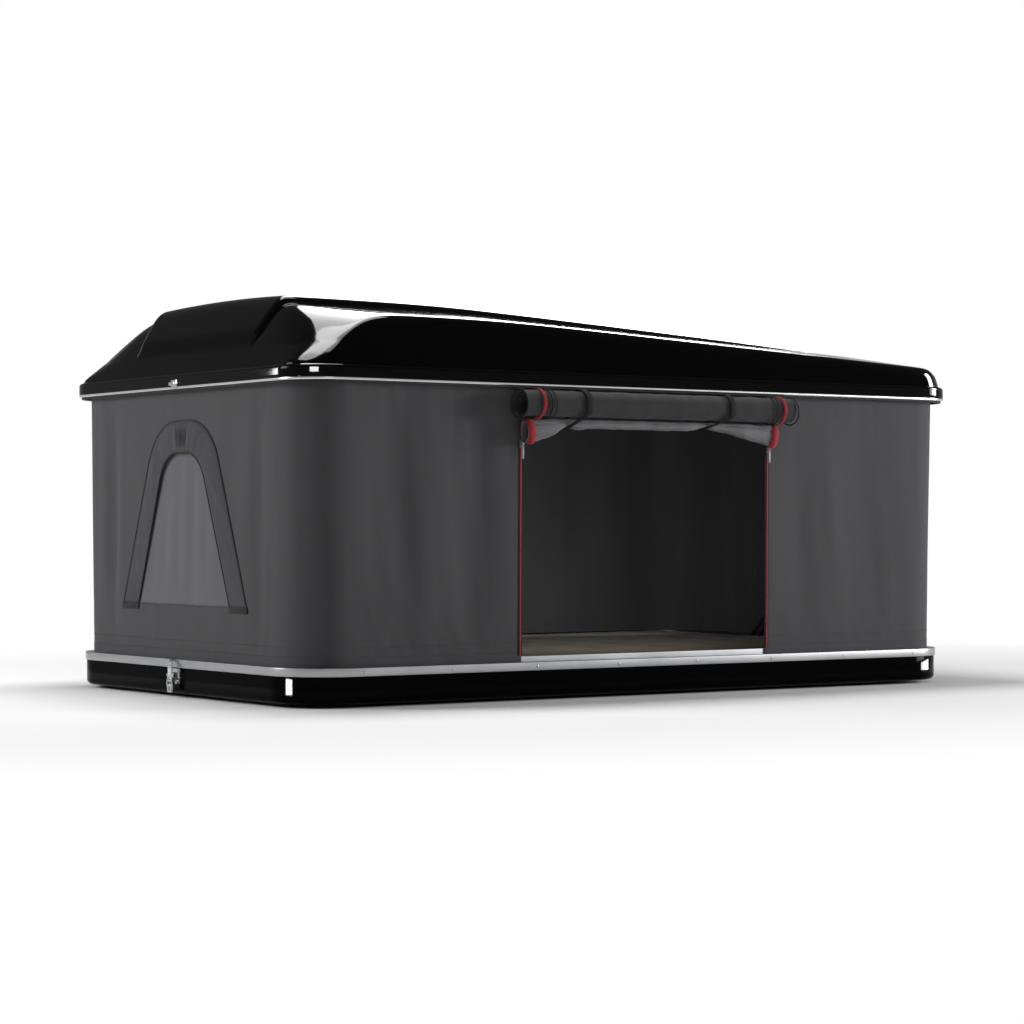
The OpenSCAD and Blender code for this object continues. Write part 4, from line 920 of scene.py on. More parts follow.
class TENT_OT_roof(bpy.types.Operator):
    """Moulded roof with its ledge and flange, lined inside"""

    bl_idname = "tent.roof"
    bl_label = "Roof shell"

    def execute(self, context):
        shape = Shape()
        x, y = dome_grid()
        outer = np.stack([x, y, LEDGE_Z + dome_height(x, y)], axis=-1)
        inner = outer * (1 - ROOF_T / DOME_HX, 1 - ROOF_T / DOME_HY, 1) - (0, 0, ROOF_T)
        first = shape.grid(outer)
        lining = shape.grid(inner, slot=1, flip=True)
        spots = np.arange(x.size).reshape(x.shape)
        ring = [*spots[:, 0], *spots[-1, 1:], *spots[-2::-1, -1], *spots[0, -2:0:-1]]
        ring = [int(spot) for spot in ring]
        edge = outer.reshape(-1, 3)[ring, :2]
        core = np.array([DOME_HX - DOME_R, DOME_HY - DOME_R])
        away = edge - np.clip(edge, -core, core)
        normal = away / np.linalg.norm(away, axis=1)[:, None]
        flange_top, lip = LEDGE_Z - LEDGE_H, 1.5
        profile = [
            (1 + (LEDGE_W - 1) * math.sin(a), flange_top - 3 + (LEDGE_H + 3) * math.cos(a))
            for a in np.radians(np.linspace(0, 90, 13))
        ]
        profile += arc((LEDGE_W - lip, FLANGE_Z + lip), lip, 0, -90, 4)
        profile += [(LEDGE_W - ROOF_T, FLANGE_Z), (LEDGE_W - ROOF_T, flange_top - 1)]
        start = shape.sweep(profile, edge, normal, closed=False)
        n = len(ring)
        for slot, loop, ends in ((0, first, start), (1, lining, start + (len(profile) - 1) * n)):
            for k in range(n):
                m = (k + 1) % n
                quad = [loop + ring[k], loop + ring[m], ends + m, ends + k]
                shape.face(quad if slot else quad[::-1], slot)
        made = shape.piece("roof_skin", "gelcoat", "felt", angle=60, mended=True)
        settle(made, "roof", ["upper_shell"])
        gloss_pieces().objects.link(made)
        return {"FINISHED"}


def band(name, coat, profile, way, body, node):
    """A piece with one profile all the way round an outline."""
    shape = Shape()
    shape.sweep(profile, *way)
    settle(shape.piece(name, coat, angle=50), body, [node])


class TENT_OT_roof_trim(bpy.types.Operator):
    """Bright trim under the roof's flange and the rubber seal below it"""

    bl_idname = "tent.roof_trim"
    bl_label = "Roof trim and seal"

    def execute(self, context):
        way = outline(TRIM_HIGH[0], TRIM_HIGH[1], ROOF_R)
        low, high, bead, inner = TRIM_LOW[2], TRIM_HIGH[2], 2.2, -24
        profile = arc((-bead, low + bead), bead, -90, 0) + arc((-bead, high - bead), bead, 0, 90)
        profile += [(inner, high), (inner, low)]
        band("roof_trim", "trim", profile, way, "roof", "upper_rim")
        low, high = SEAL_LOW[2], SEAL_HIGH[2]
        profile = [(-14, high), (-14, low + 3)] + arc((-10, low + 4), 4, 190, 350, 9) + [(-6, high)]
        band("lip_seal", "rubber", profile, way, "roof", "rim_seal")
        return {"FINISHED"}


# Base

RIM_R = 155
RIM_T = 3
TRAY_T = 5
TRAY_EDGE = 14
INNER_EDGE = 8
RAIL_GAP = 0.5
BUSH_HOLE_R = 11.1
# Rivets on each long side
RIVETS = 8


class TENT_OT_tray(bpy.types.Operator):
    """Moulded base tray with rounded bottom edge and sunk mounting rails"""

    bl_idname = "tent.tray"
    bl_label = "Base tray"

    def execute(self, context):
        half_x, half_y = RIM_HIGH[0] - RIM_T, RIM_HIGH[1] - RIM_T
        points, normals = outline(half_x, half_y, RIM_R - RIM_T, 48, 30, 24)
        top, edge, inner = RIM_TOP - RIM_T, TRAY_EDGE, TRAY_T + INNER_EDGE
        profile = [(-edge - 6, 0)] + arc((-edge, edge), edge, -90, 0, 12)
        profile += [(0, top - 1)] + arc((-1, top - 1), 1, 0, 90, 3)
        profile += [(-TRAY_T, top), (-TRAY_T, inner)] + arc((-inner, inner), INNER_EDGE, 0, -90, 6)
        profile += [(-TRAY_T - 26, TRAY_T)]
        shape = Shape()
        first = shape.sweep(profile, points, normals, closed=False)
        shape.caps(first, len(profile), len(points))
        made = shape.piece("tray_skin", "tray_gelcoat", angle=35)
        low, high = cad_box("near_mount_rail")
        joins, cuts = [], []
        for sign in (1, -1):
            y0, y1 = sorted((sign * low[1], sign * high[1]))
            for name, tools, grow, z0, z1, rounding in (
                ("boss", joins, TRAY_T, 1, high[2] + TRAY_T, 2),
                ("groove", cuts, RAIL_GAP, -9, high[2], 0.4),
            ):
                start, end = (low[0] - grow, y0 - grow, z0), (high[0] + grow, y1 + grow, z1)
                tools.append(Shape().block(start, end, rounding).piece(f"{name}{sign}", "tray_gelcoat"))
        _, y, z = np.mean(cad_box("crank_bush"), axis=0)
        reach = RIM_HIGH[0]
        hole = Shape().tube([(reach - 40, y, z), (reach + 20, y, z)], BUSH_HOLE_R, 40)
        cuts.append(hole.piece("bush_hole", "tray_gelcoat"))
        cut(made, "UNION", *joins)
        cut(made, "DIFFERENCE", *cuts)
        smooth(made.data, 35)
        settle(made, "base", ["lower_shell"])
        gloss_pieces().objects.link(made)
        return {"FINISHED"}


class TENT_OT_rim(bpy.types.Operator):
    """Anodised rim of the base, the upstand that holds the cloth, and the rim's rivets"""

    bl_idname = "tent.rim"
    bl_label = "Base rim and rivets"

    def execute(self, context):
        way = outline(RIM_HIGH[0], RIM_HIGH[1], RIM_R, 48, 30, 24)
        low, top, inner, under = RIM_LOW[2], RIM_TOP, -28.5, RIM_TOP - RIM_T
        profile = arc((-1.2, low + 1.2), 1.2, -90, 0, 4) + arc((-1.5, top - 1.5), 1.5, 0, 90, 5)
        profile += [(inner, top), (inner, under), (-RIM_T, under), (-RIM_T, low)]
        band("rim_band", "rim", profile, way, "base", "lower_rim")
        outside, high, half_t = TRACK_HIGH[0] - RIM_HIGH[0], TRACK_HIGH[2], 1.5
        profile = [(outside, top)] + arc((outside - half_t, high - half_t), half_t, 0, 180, 9)
        profile += [(outside - 2 * half_t, top)]
        band("sill_track", "rim", profile, way, "base", "wall_track")
        self.rivets((low + top) / 2)
        return {"FINISHED"}

    def rivets(self, height):
        """Domed rivet heads in a row along each long side."""
        head = Shape()
        rings = [(3.7, 0), (3.7, 0.3), (3.5, 0.8), (2.8, 1.2), (1.6, 1.5), (0.4, 1.6)]
        rings = [(r, -h) for r, h in rings[:0:-1]] + rings
        angles = around(14)
        circles = [line(r * np.cos(angles), -h, r * np.sin(angles)) for r, h in rings]
        head.caps(head.grid(circles, False, True), len(rings), len(angles))
        source = head.piece("rivet_head", "rim")
        pitch = mm("rivet_pitch")
        reach = (RIVETS - 1) / 2 * pitch
        sides = [sign * (RIM_HIGH[1] - 0.2) for sign in (-1, 1)]
        paths = [[(-reach, y, height), (reach + 1, y, height)] for y in sides]
        made = run_along("rivet_heads", paths, source, pitch, "rim")
        settle(made, "base", ["rim_rivets"])


# Cloth

TRACK_IN = 25.5
CLOTH_GAP = 0.7
CLOTH_T = LENGTHS["cloth_t"][-1]
WALL_X = WALL_HIGH[0]
WALL_FOOT_Y = RIM_HIGH[1] - TRACK_IN + CLOTH_GAP + CLOTH_T
WALL_TOP_Y = WALL_HIGH[1]
WALL_FOOT_R = 132.5
WALL_TOP_R = 115
WALL_Z0 = WALL_LOW[2]
WALL_Z1 = WALL_HIGH[2]
WALL_H = WALL_Z1 - WALL_Z0
TUCK_Z = WALL_Z1 + 6.5
FOLD_PITCH = 250
BELLY_WAVE = 9
TRIM_WAVE = 4
# Lengths of the waves that make up the ripples, from the wall's top to its foot
TRIM_WAVES = (33, 52, 79)
TOP_RIPPLES = (47, 71, 113, 190)
BELLY_WAVES = (83, 131, 210, 330)
FOOT_RIPPLES = (43, 61, 97)
# How loose the end walls, the thin half of the tent and the cloth at the doors' edges are
END_LOOSE = 0.5
THIN_LOOSE = 0.5
EDGE_LOOSE = 0.35
DOOR_X = (NEAR_ZIP_LOW[0] + NEAR_ZIP_HIGH[0]) / 2
DOOR_W = 782
DOOR_TOP = RIM_TOP + 610
DOOR_R = 60
DOOR_FLAT = DOOR_W / 2 + 26
# How far the blocks that cut the windows and doors reach, past the walls
CUT_X = 1090
CUT_Y = 680
ZIP_XS = (DOOR_X - DOOR_W / 2 - 5, DOOR_X + DOOR_W / 2 + 5)
HOOD_HALF = 330
HOOD_Z = RIM_TOP + 131
HOOD_H = 471
HOOD_R = 160
NET_HALF = 243
NET_UP = 4
NET_H = 386
# The window's mean width in half widths, the lean of its sides and the radius of its corners
WINDOW_LEAN = 0.392
WINDOW_R = 102
# The hood's pleats in its whole run, the share of the run that they gather in over the top, and
# how far pleats, slack and drawn cloth stand up
PLEATS = 27
PLEAT_REACH = 0.16
PLEAT_H = 4.2
SLACK_H = 2.2
DRAWN_H = 4.4


def wall_y(z):
    """Half the width over the wall cloth at a height."""
    return WALL_FOOT_Y + (WALL_TOP_Y - WALL_FOOT_Y) * (z - WALL_Z0) / WALL_H


def waves(s, lengths, seed):
    """A smooth uneven wave from 0 to 1 along a distance in millimetres."""
    draw = np.random.default_rng(seed)
    total = sum(np.cos(TURN * s / w + draw.uniform(0, 6.3)) for w in lengths)
    return 0.5 + 0.5 * total / len(lengths)


def near(distance, reach, start):
    """How strong ripples are at a distance from the edge that holds the cloth."""
    return math.exp(-distance / reach) * (1 - math.exp(-distance / start))


def wall_loops():
    """Loops of the wall's outer face from the rim up into the roof, and their normals."""
    foot = (TRACK_HIGH[2] + 2 - WALL_Z0) / WALL_H
    levels = np.unique(np.concatenate([
        np.linspace(0, 0.08, 8), np.linspace(0.08, 0.9, 40), np.linspace(0.9, 1, 12),
        [(TUCK_Z - WALL_Z0) / WALL_H],
    ]))
    corner, loops = WALL_FOOT_Y - WALL_FOOT_R, []
    for t in levels:
        u = min(t, 1)
        half_y = WALL_FOOT_Y + (WALL_TOP_Y - WALL_FOOT_Y) * u
        radius = WALL_FOOT_R + (WALL_TOP_R - WALL_FOOT_R) * u
        points, normals = outline(WALL_X, half_y, radius, 130, 80, 14)
        along = running(points)
        x, y = points.T
        wide, beside = np.abs(y), np.abs(x - DOOR_X)
        side = wide > corner
        # The cloth is loose beside the doors and windows, and less so towards the thin end
        loose = np.where(
            side,
            eased(beside, DOOR_FLAT, DOOR_FLAT + 130) * eased(np.abs(x), WALL_X - 60, WALL_X - 200),
            END_LOOSE * eased(wide, HOOD_HALF + 5, HOOD_HALF + 70) * eased(wide, corner, corner - 60),
        )
        loose = loose * np.where(x > DOOR_X, THIN_LOOSE, 1)
        belly = math.sin(math.pi * np.clip((t - foot) / (1 - foot), 0, 1))
        folds = mm("wall_sag") + mm("fold_depth") * np.cos(TURN * (x + 2 * y) / FOLD_PITCH)
        squarely = np.abs((points * normals).sum(axis=1)) / np.linalg.norm(points, axis=1)
        inward = loose * belly * folds * squarely
        below_top, above_foot = WALL_H * max(0, 1 - t), WALL_H * max(0, t - foot)
        edged = np.where(side, eased(beside, DOOR_FLAT - 20, DOOR_FLAT + 40), loose)
        soft = np.maximum(loose, EDGE_LOOSE * edged)
        inward = inward + soft * mm("ripple") * (
            waves(along, TOP_RIPPLES, 3) * near(below_top, 170, 14)
            + 0.9 * waves(along + 0.5 * above_foot, FOOT_RIPPLES, 5) * near(above_foot, 90, 14)
        )
        inward = inward + soft * (
            belly * BELLY_WAVE * waves(along + 60 * t, BELLY_WAVES, 8)
            + TRIM_WAVE * waves(along, TRIM_WAVES, 14) * near(below_top, 34, 6)
        )
        x, y = (points - normals * inward[:, None]).T
        loops.append(line(x, y, WALL_Z0 + t * WALL_H))
    return np.array(loops), normals


def prism(name, upright, axis, reach):
    """A closed block with an upright outline, running through the tent along X or Y."""
    ends = [
        [(a, end, z) if axis == "Y" else (end, a, z) for a, z in upright] for end in (-reach, reach)
    ]
    shape = Shape()
    shape.caps(shape.grid(ends, False, True), 2, len(upright))
    return shape.piece(name, "canvas", "canvas_back", mended=True)


def door_outline(grow=0):
    """The door's outline in length and height."""
    half, top, r = DOOR_W / 2 + grow, DOOR_TOP + grow, DOOR_R
    points = [(DOOR_X - half, RIM_TOP - 20), (DOOR_X + half, RIM_TOP - 20)]
    points += arc((DOOR_X + half - r, top - r), r, 0, 90, 12)
    return points + arc((DOOR_X - half + r, top - r), r, 90, 180, 12)


def window_points(half, height, radius, sides=26, corner=18, top=14):
    """A window's outline from its right foot over the top to its left foot."""
    slope = math.atan(WINDOW_LEAN)
    cz = height - radius
    cx = half - WINDOW_LEAN * cz - radius / math.cos(slope)
    end = cz + radius * math.sin(slope)
    right = [(half - WINDOW_LEAN * z, z) for z in np.linspace(0, end, sides, endpoint=False)]
    right += arc((cx, cz), radius, math.degrees(slope), 90, corner + 1)
    right += [(cx * (1 - i / top), height) for i in range(1, top + 1)]
    return np.array(right + [(-x, z) for x, z in right[-2::-1]])


class TENT_OT_walls(bpy.types.Operator):
    """Cloth walls with their door and window openings, hemmed at the rim"""

    bl_idname = "tent.walls"
    bl_label = "Cloth walls"

    def execute(self, context):
        loops, normals = wall_loops()
        inner = loops - mm("cloth_t") * np.column_stack([normals, np.zeros(len(normals))])
        shape = Shape()
        first = shape.grid(loops, False, True)
        back = shape.grid(inner, False, True, slot=1, flip=True)
        rows, n = loops.shape[:2]
        for a, b in ((first, back), (back + (rows - 1) * n, first + (rows - 1) * n)):
            for k in range(n):
                m = (k + 1) % n
                shape.face([a + k, b + k, b + m, a + m])
        made = shape.piece("wall_cloth", "canvas", "canvas_back", angle=50)
        window = [(y, HOOD_Z + NET_UP + z) for y, z in window_points(NET_HALF, NET_H, WINDOW_R)]
        door_cut = prism("door_cut", door_outline(), "Y", CUT_Y)
        cut(made, "DIFFERENCE", door_cut, prism("window_cut", window, "X", CUT_X))
        smooth(made.data, 50)
        settle(made, "base", ["wall_canvas"], WALL_FOLD)
        hems = []
        for row in (3, 6):
            loop = np.vstack([loops[row], loops[row][:1]])
            # Just clear of the cloth
            loop[:, :2] *= 1 + 0.35 / 900
            gone = (np.abs(loop[:, 0] - DOOR_X) < DOOR_W / 2 + 14) & (np.abs(loop[:, 1]) > 500)
            runs = np.split(np.arange(len(loop)), np.where(gone)[0])
            hems += [loop[run[~gone[run]]] for run in runs if (~gone[run]).sum() > 2]
        sew("wall_hem_stitches", hems)
        return {"FINISHED"}


class TENT_OT_windows(bpy.types.Operator):
    """Net windows in both ends with their gathered hoods"""

    bl_idname = "tent.windows"
    bl_label = "Windows and hoods"

    def execute(self, context):
        for end, sign in (("front", -1), ("rear", 1)):
            self.net(end, sign)
            self.hood(end, sign)
        return {"FINISHED"}

    def net(self, end, sign):
        """The net, slightly loose in upright waves."""
        depth, wave_h, pitch = 2.2, 2.2, 74
        edge = window_points(NET_HALF - 0.4, NET_H - 0.4, WINDOW_R, 40, 20, 1)
        rows = []
        for half, z in edge[: len(edge) // 2]:
            a = np.linspace(-half, half, 61)
            calm = math.sin(math.pi * min(1, z / NET_H)) * np.cos(a / half * math.pi / 2)
            wave = wave_h * calm * np.cos(TURN * a / pitch + 0.004 * z)
            rows.append(line(WALL_X - depth + wave, a, HOOD_Z + NET_UP + z))
        shape = Shape()
        shape.grid(np.array(rows) * (sign, 1, 1), flip=sign < 0)
        made = thickened(shape.piece(f"{end}_net_cloth", "net", "canvas_back"), 1.0, back=1)
        settle(made, "base", [f"{end}_window_net"], WALL_FOLD)

    def hood(self, end, sign):
        """The hood: a band sewn down outside, standing off at its bound inner edge, gathered
        in pleats over the top and hemmed at its two feet."""
        outer = window_points(HOOD_HALF, HOOD_H, HOOD_R)
        inner = window_points(NET_HALF, NET_H, WINDOW_R) + (0, NET_UP)
        mirror = np.array([sign, 1, 1])
        run = np.linspace(0, 1, len(outer))
        crest = np.sin(math.pi * run)
        gather = np.exp(-(((run - 0.5) / PLEAT_REACH) ** 2))
        pleats = gather * (0.5 + 0.5 * np.cos(TURN * PLEATS * run + 1.4 * np.sin(11 * run)))
        rows = []
        for s in np.linspace(0, 1, 13):
            y, z = (outer * (1 - s) + inner * s).T
            slack = (1 - gather) * (0.5 + 0.5 * np.cos(TURN * (5 * run + 0.4 * s)))
            drawn = (1 - gather) * waves(run * 900 + 110 * s, (41, 66, 105, 170), 31)
            lift = 0.4 + (mm("hood_out") - 1) * s**0.8 * crest
            loose = (SLACK_H * slack + DRAWN_H * drawn) * crest**0.5
            lift += math.sin(math.pi * s) * (PLEAT_H * pleats + loose)
            rows.append(line(WALL_X + lift, y, HOOD_Z + z))
        rows = np.array(rows)
        shape = Shape()
        shape.grid(rows * mirror, flip=sign > 0)
        made = thickened(shape.piece(f"{end}_hood_cloth", "hood"), 1.4, 0.2)
        edge = Shape()
        for row, out_x, radius in ((rows[0], 1.0, 1.3), (rows[-1], 0.6, 1.9)):
            edge.tube((row + (out_x, 0, 0)) * mirror, radius, 8)
        for foot in (0, -1):
            feet = rows[[0, -1], foot]
            low, high = feet.min(axis=0) + (0, -3, -9), feet.max(axis=0) + (3.2, 3, 3)
            low[0] = WALL_X + 0.3
            corners = np.array([low, high]) * mirror
            edge.block(corners.min(axis=0), corners.max(axis=0), 1.4)
        trim = edge.piece(f"{end}_hood_binding", "binding", mended=True)
        settle(made, "base", [f"{end}_window_hood"], WALL_FOLD)
        settle(trim, "base", fold=WALL_FOLD)
        sew(f"{end}_hood_stitches", [(rows[1] + (1.0, 0, 0)) * mirror])


class TENT_OT_far_door(bpy.types.Operator):
    """Closed door on the far side, zipped into the wall"""

    bl_idname = "tent.far_door"
    bl_label = "Far door"

    def execute(self, context):
        half = DOOR_W / 2 - 0.5
        xs = np.linspace(-half, half, 90)
        rows = []
        for t in np.linspace(0, 1, 60):
            z = WALL_Z0 + 0.4 + t * (DOOR_TOP - 0.6 - WALL_Z0)
            drop = max(0, z - (DOOR_TOP - DOOR_R))
            wide = half - DOOR_R + math.sqrt(max(0, DOOR_R**2 - min(drop, DOOR_R) ** 2))
            calm = math.sin(math.pi * t) * np.cos(xs / half * math.pi / 2) ** 0.7
            wave = calm * (3 * waves(xs + 40 * t, (110, 170, 260), 12) + 2)
            rows.append(line(DOOR_X + xs * wide / half, wall_y(z) - 0.2 - wave, z))
        shape = Shape()
        shape.grid(rows, flip=True)
        made = shape.piece("far_door_cloth", "canvas", "canvas_back")
        thickened(made, 0.8 * mm("cloth_t"), -1, back=1)
        settle(made, "base", ["far_door"], WALL_FOLD)
        lines = []
        foot = RIM_TOP + 18
        for offset in (22, 27):
            path = [(x, z) for x, z in door_outline(offset) if z > RIM_TOP]
            path = [(path[0][0], foot), *path, (path[-1][0], foot)]
            lines.append([(x, wall_y(z) + 0.5, z) for x, z in path])
        sew("far_door_stitches", lines)
        return {"FINISHED"}


class TENT_OT_zips(bpy.types.Operator):
    """Red zips beside both doors, with their coils and sliders"""

    bl_idname = "tent.zips"
    bl_label = "Zips"

    def execute(self, context):
        for side, sign in (("near", -1), ("far", 1)):
            low, high = cad_box(f"{side}_zip_tapes")
            self.tapes(side, sign, low[2], high[2])
        self.sliders()
        return {"FINISHED"}

    def tapes(self, side, sign, z0, z1):
        """A pair of dark tapes, each with a red coil along its middle."""
        tape = [(-6, 0), (-6, 0.8), (6, 0.8), (6, 0)]
        coil = [(-2.2, 0.8), (-2.2, 1.4), (-1.6, 1.9), (1.6, 1.9), (2.2, 1.4), (2.2, 0.8)]
        shape, paths, steps = Shape(), [], 24
        for x in ZIP_XS:
            for slot, profile in enumerate((coil, tape)):
                rows = [
                    [(x + a, sign * (wall_y(z) + 0.3 + b), z) for a, b in profile]
                    for z in np.linspace(z0, z1, steps)
                ]
                first = shape.grid(rows, False, True, slot)
                shape.caps(first, steps, len(profile), slot, flip=True)
            paths.append([(x, sign * (wall_y(z) + 2.2), z) for z in np.linspace(z0 + 3, z1 - 3, steps)])
        made = shape.piece(f"{side}_zip_cloth", "zip", "binding", angle=30, mended=True)
        settle(made, "base", [f"{side}_zip_tapes"], WALL_FOLD)
        tooth = Shape().block((-1.6, -0.6, -1.2), (1.6, 0.6, 1.2), 0.5, 1).piece("tooth", "teeth")
        teeth = run_along(f"{side}_zip_coils", paths, tooth, mm("tooth_pitch"), "teeth")
        settle(teeth, "base", fold=WALL_FOLD)

    def sliders(self):
        """Two sliders with hanging pull tabs at the top of the near zips."""
        shape = Shape()
        z = SLIDER_TOP - 2
        y = -(wall_y(z) + 2.9)
        for x in ZIP_XS:
            shape.block((x - 6, y - 2, z), (x + 6, y, z + 22), 1)
            shape.block((x - 6, y - 5, z + 2), (x + 6, y - 3.2, z + 22), 0.8)
            shape.block((x - 1.6, y - 3.4, z + 8), (x + 1.6, y - 1.6, z + 20), 0.4)
            a = np.linspace(0, math.pi, 9)
            shape.tube(line(x, y - 5 - 3 * np.sin(a), z + 12 - 6 * np.cos(a)), 0.9, 8)
            a = around(20)
            loop = line(x + 3 * np.sin(a), y - 7.2 - 0.3 * np.cos(a), z + 6 + 4.5 * np.cos(a))
            shape.tube(loop, 0.8, 8, True)
            shape.block((x - 3.4, y - 7.9, z - 26), (x + 3.4, y - 6.4, z + 2), 0.7)
        made = shape.piece("zip_pulls", "gearbox", mended=True)
        settle(made, "base", ["zip_sliders"], WALL_FOLD)


# Rolls

ROLL_Y, ROLL_Z = ((ROLL_LOW + ROLL_HIGH) / 2)[1:]
ROLL_X0 = ROLL_LOW[0] + 16
ROLL_X1 = ROLL_HIGH[0] - 46
ROLL_R = 36
ROLL_TURNS = 4.6
ROLL_CORE = 9.0
ROLL_WAVE = 5.5
ROLL_RECESS = 34
NET_X0 = DOOR_X - DOOR_W / 2 - 14
NET_X1 = DOOR_X + DOOR_W / 2 + 4
NET_Y = (NET_ROLL_LOW[1] + NET_ROLL_HIGH[1]) / 2
NET_TOP = NET_ROLL_HIGH[2]
NET_TURNS = 1.7
# The rolled net's height between the straps, what droops more at its ends, and the straps' pinch
NET_THIN = 24
NET_DROOP = 40
NET_PINCH = 0.42
NET_PINCH_W = 30
# The net's loss of size in each turn inwards, and the height of its ripples and creases
NET_SHRINK = 0.17
NET_RIPPLE = 2.6
NET_CREASE = 2.4
STRAP_W = 18
STRAP_T = 2.2
# Where each strap goes round the door's roll, and how far aside it goes round the net's
STRAPS = ((STRAP_LOW[0] + 12.5, -40), (STRAP_HIGH[0] - 12.5, -62))
RING_SECTION = [
    (-5, 0), (-4.2, 1.4), (-1.8, 1.7), (-1.5, 2.4), (1.5, 2.4), (1.8, 1.7), (4.2, 1.4), (5, 0),
]


def net_depth(x):
    """Height of the rolled net: thin between the straps, pinched by them, drooping outside."""
    u = np.abs(np.asarray(x, float) - DOOR_X) / ((NET_X1 - NET_X0) / 2)
    deep = NET_THIN + NET_DROOP * np.clip((u - 0.52) / 0.46, 0, 1) ** 1.1
    for strap, lean in STRAPS:
        deep = deep * (1 - NET_PINCH * np.exp(-(((x - strap - lean) / NET_PINCH_W) ** 2)))
    return deep


def net_half_width(deep):
    """Half the rolled net's width where it has that height."""
    return 11.5 + deep / 8


def round_roll(x, beyond, angles):
    """Points once round the door's roll, a little way off its face."""
    radius = ROLL_R + beyond
    return line(x, ROLL_Y + radius * np.cos(angles), ROLL_Z + radius * np.sin(angles))


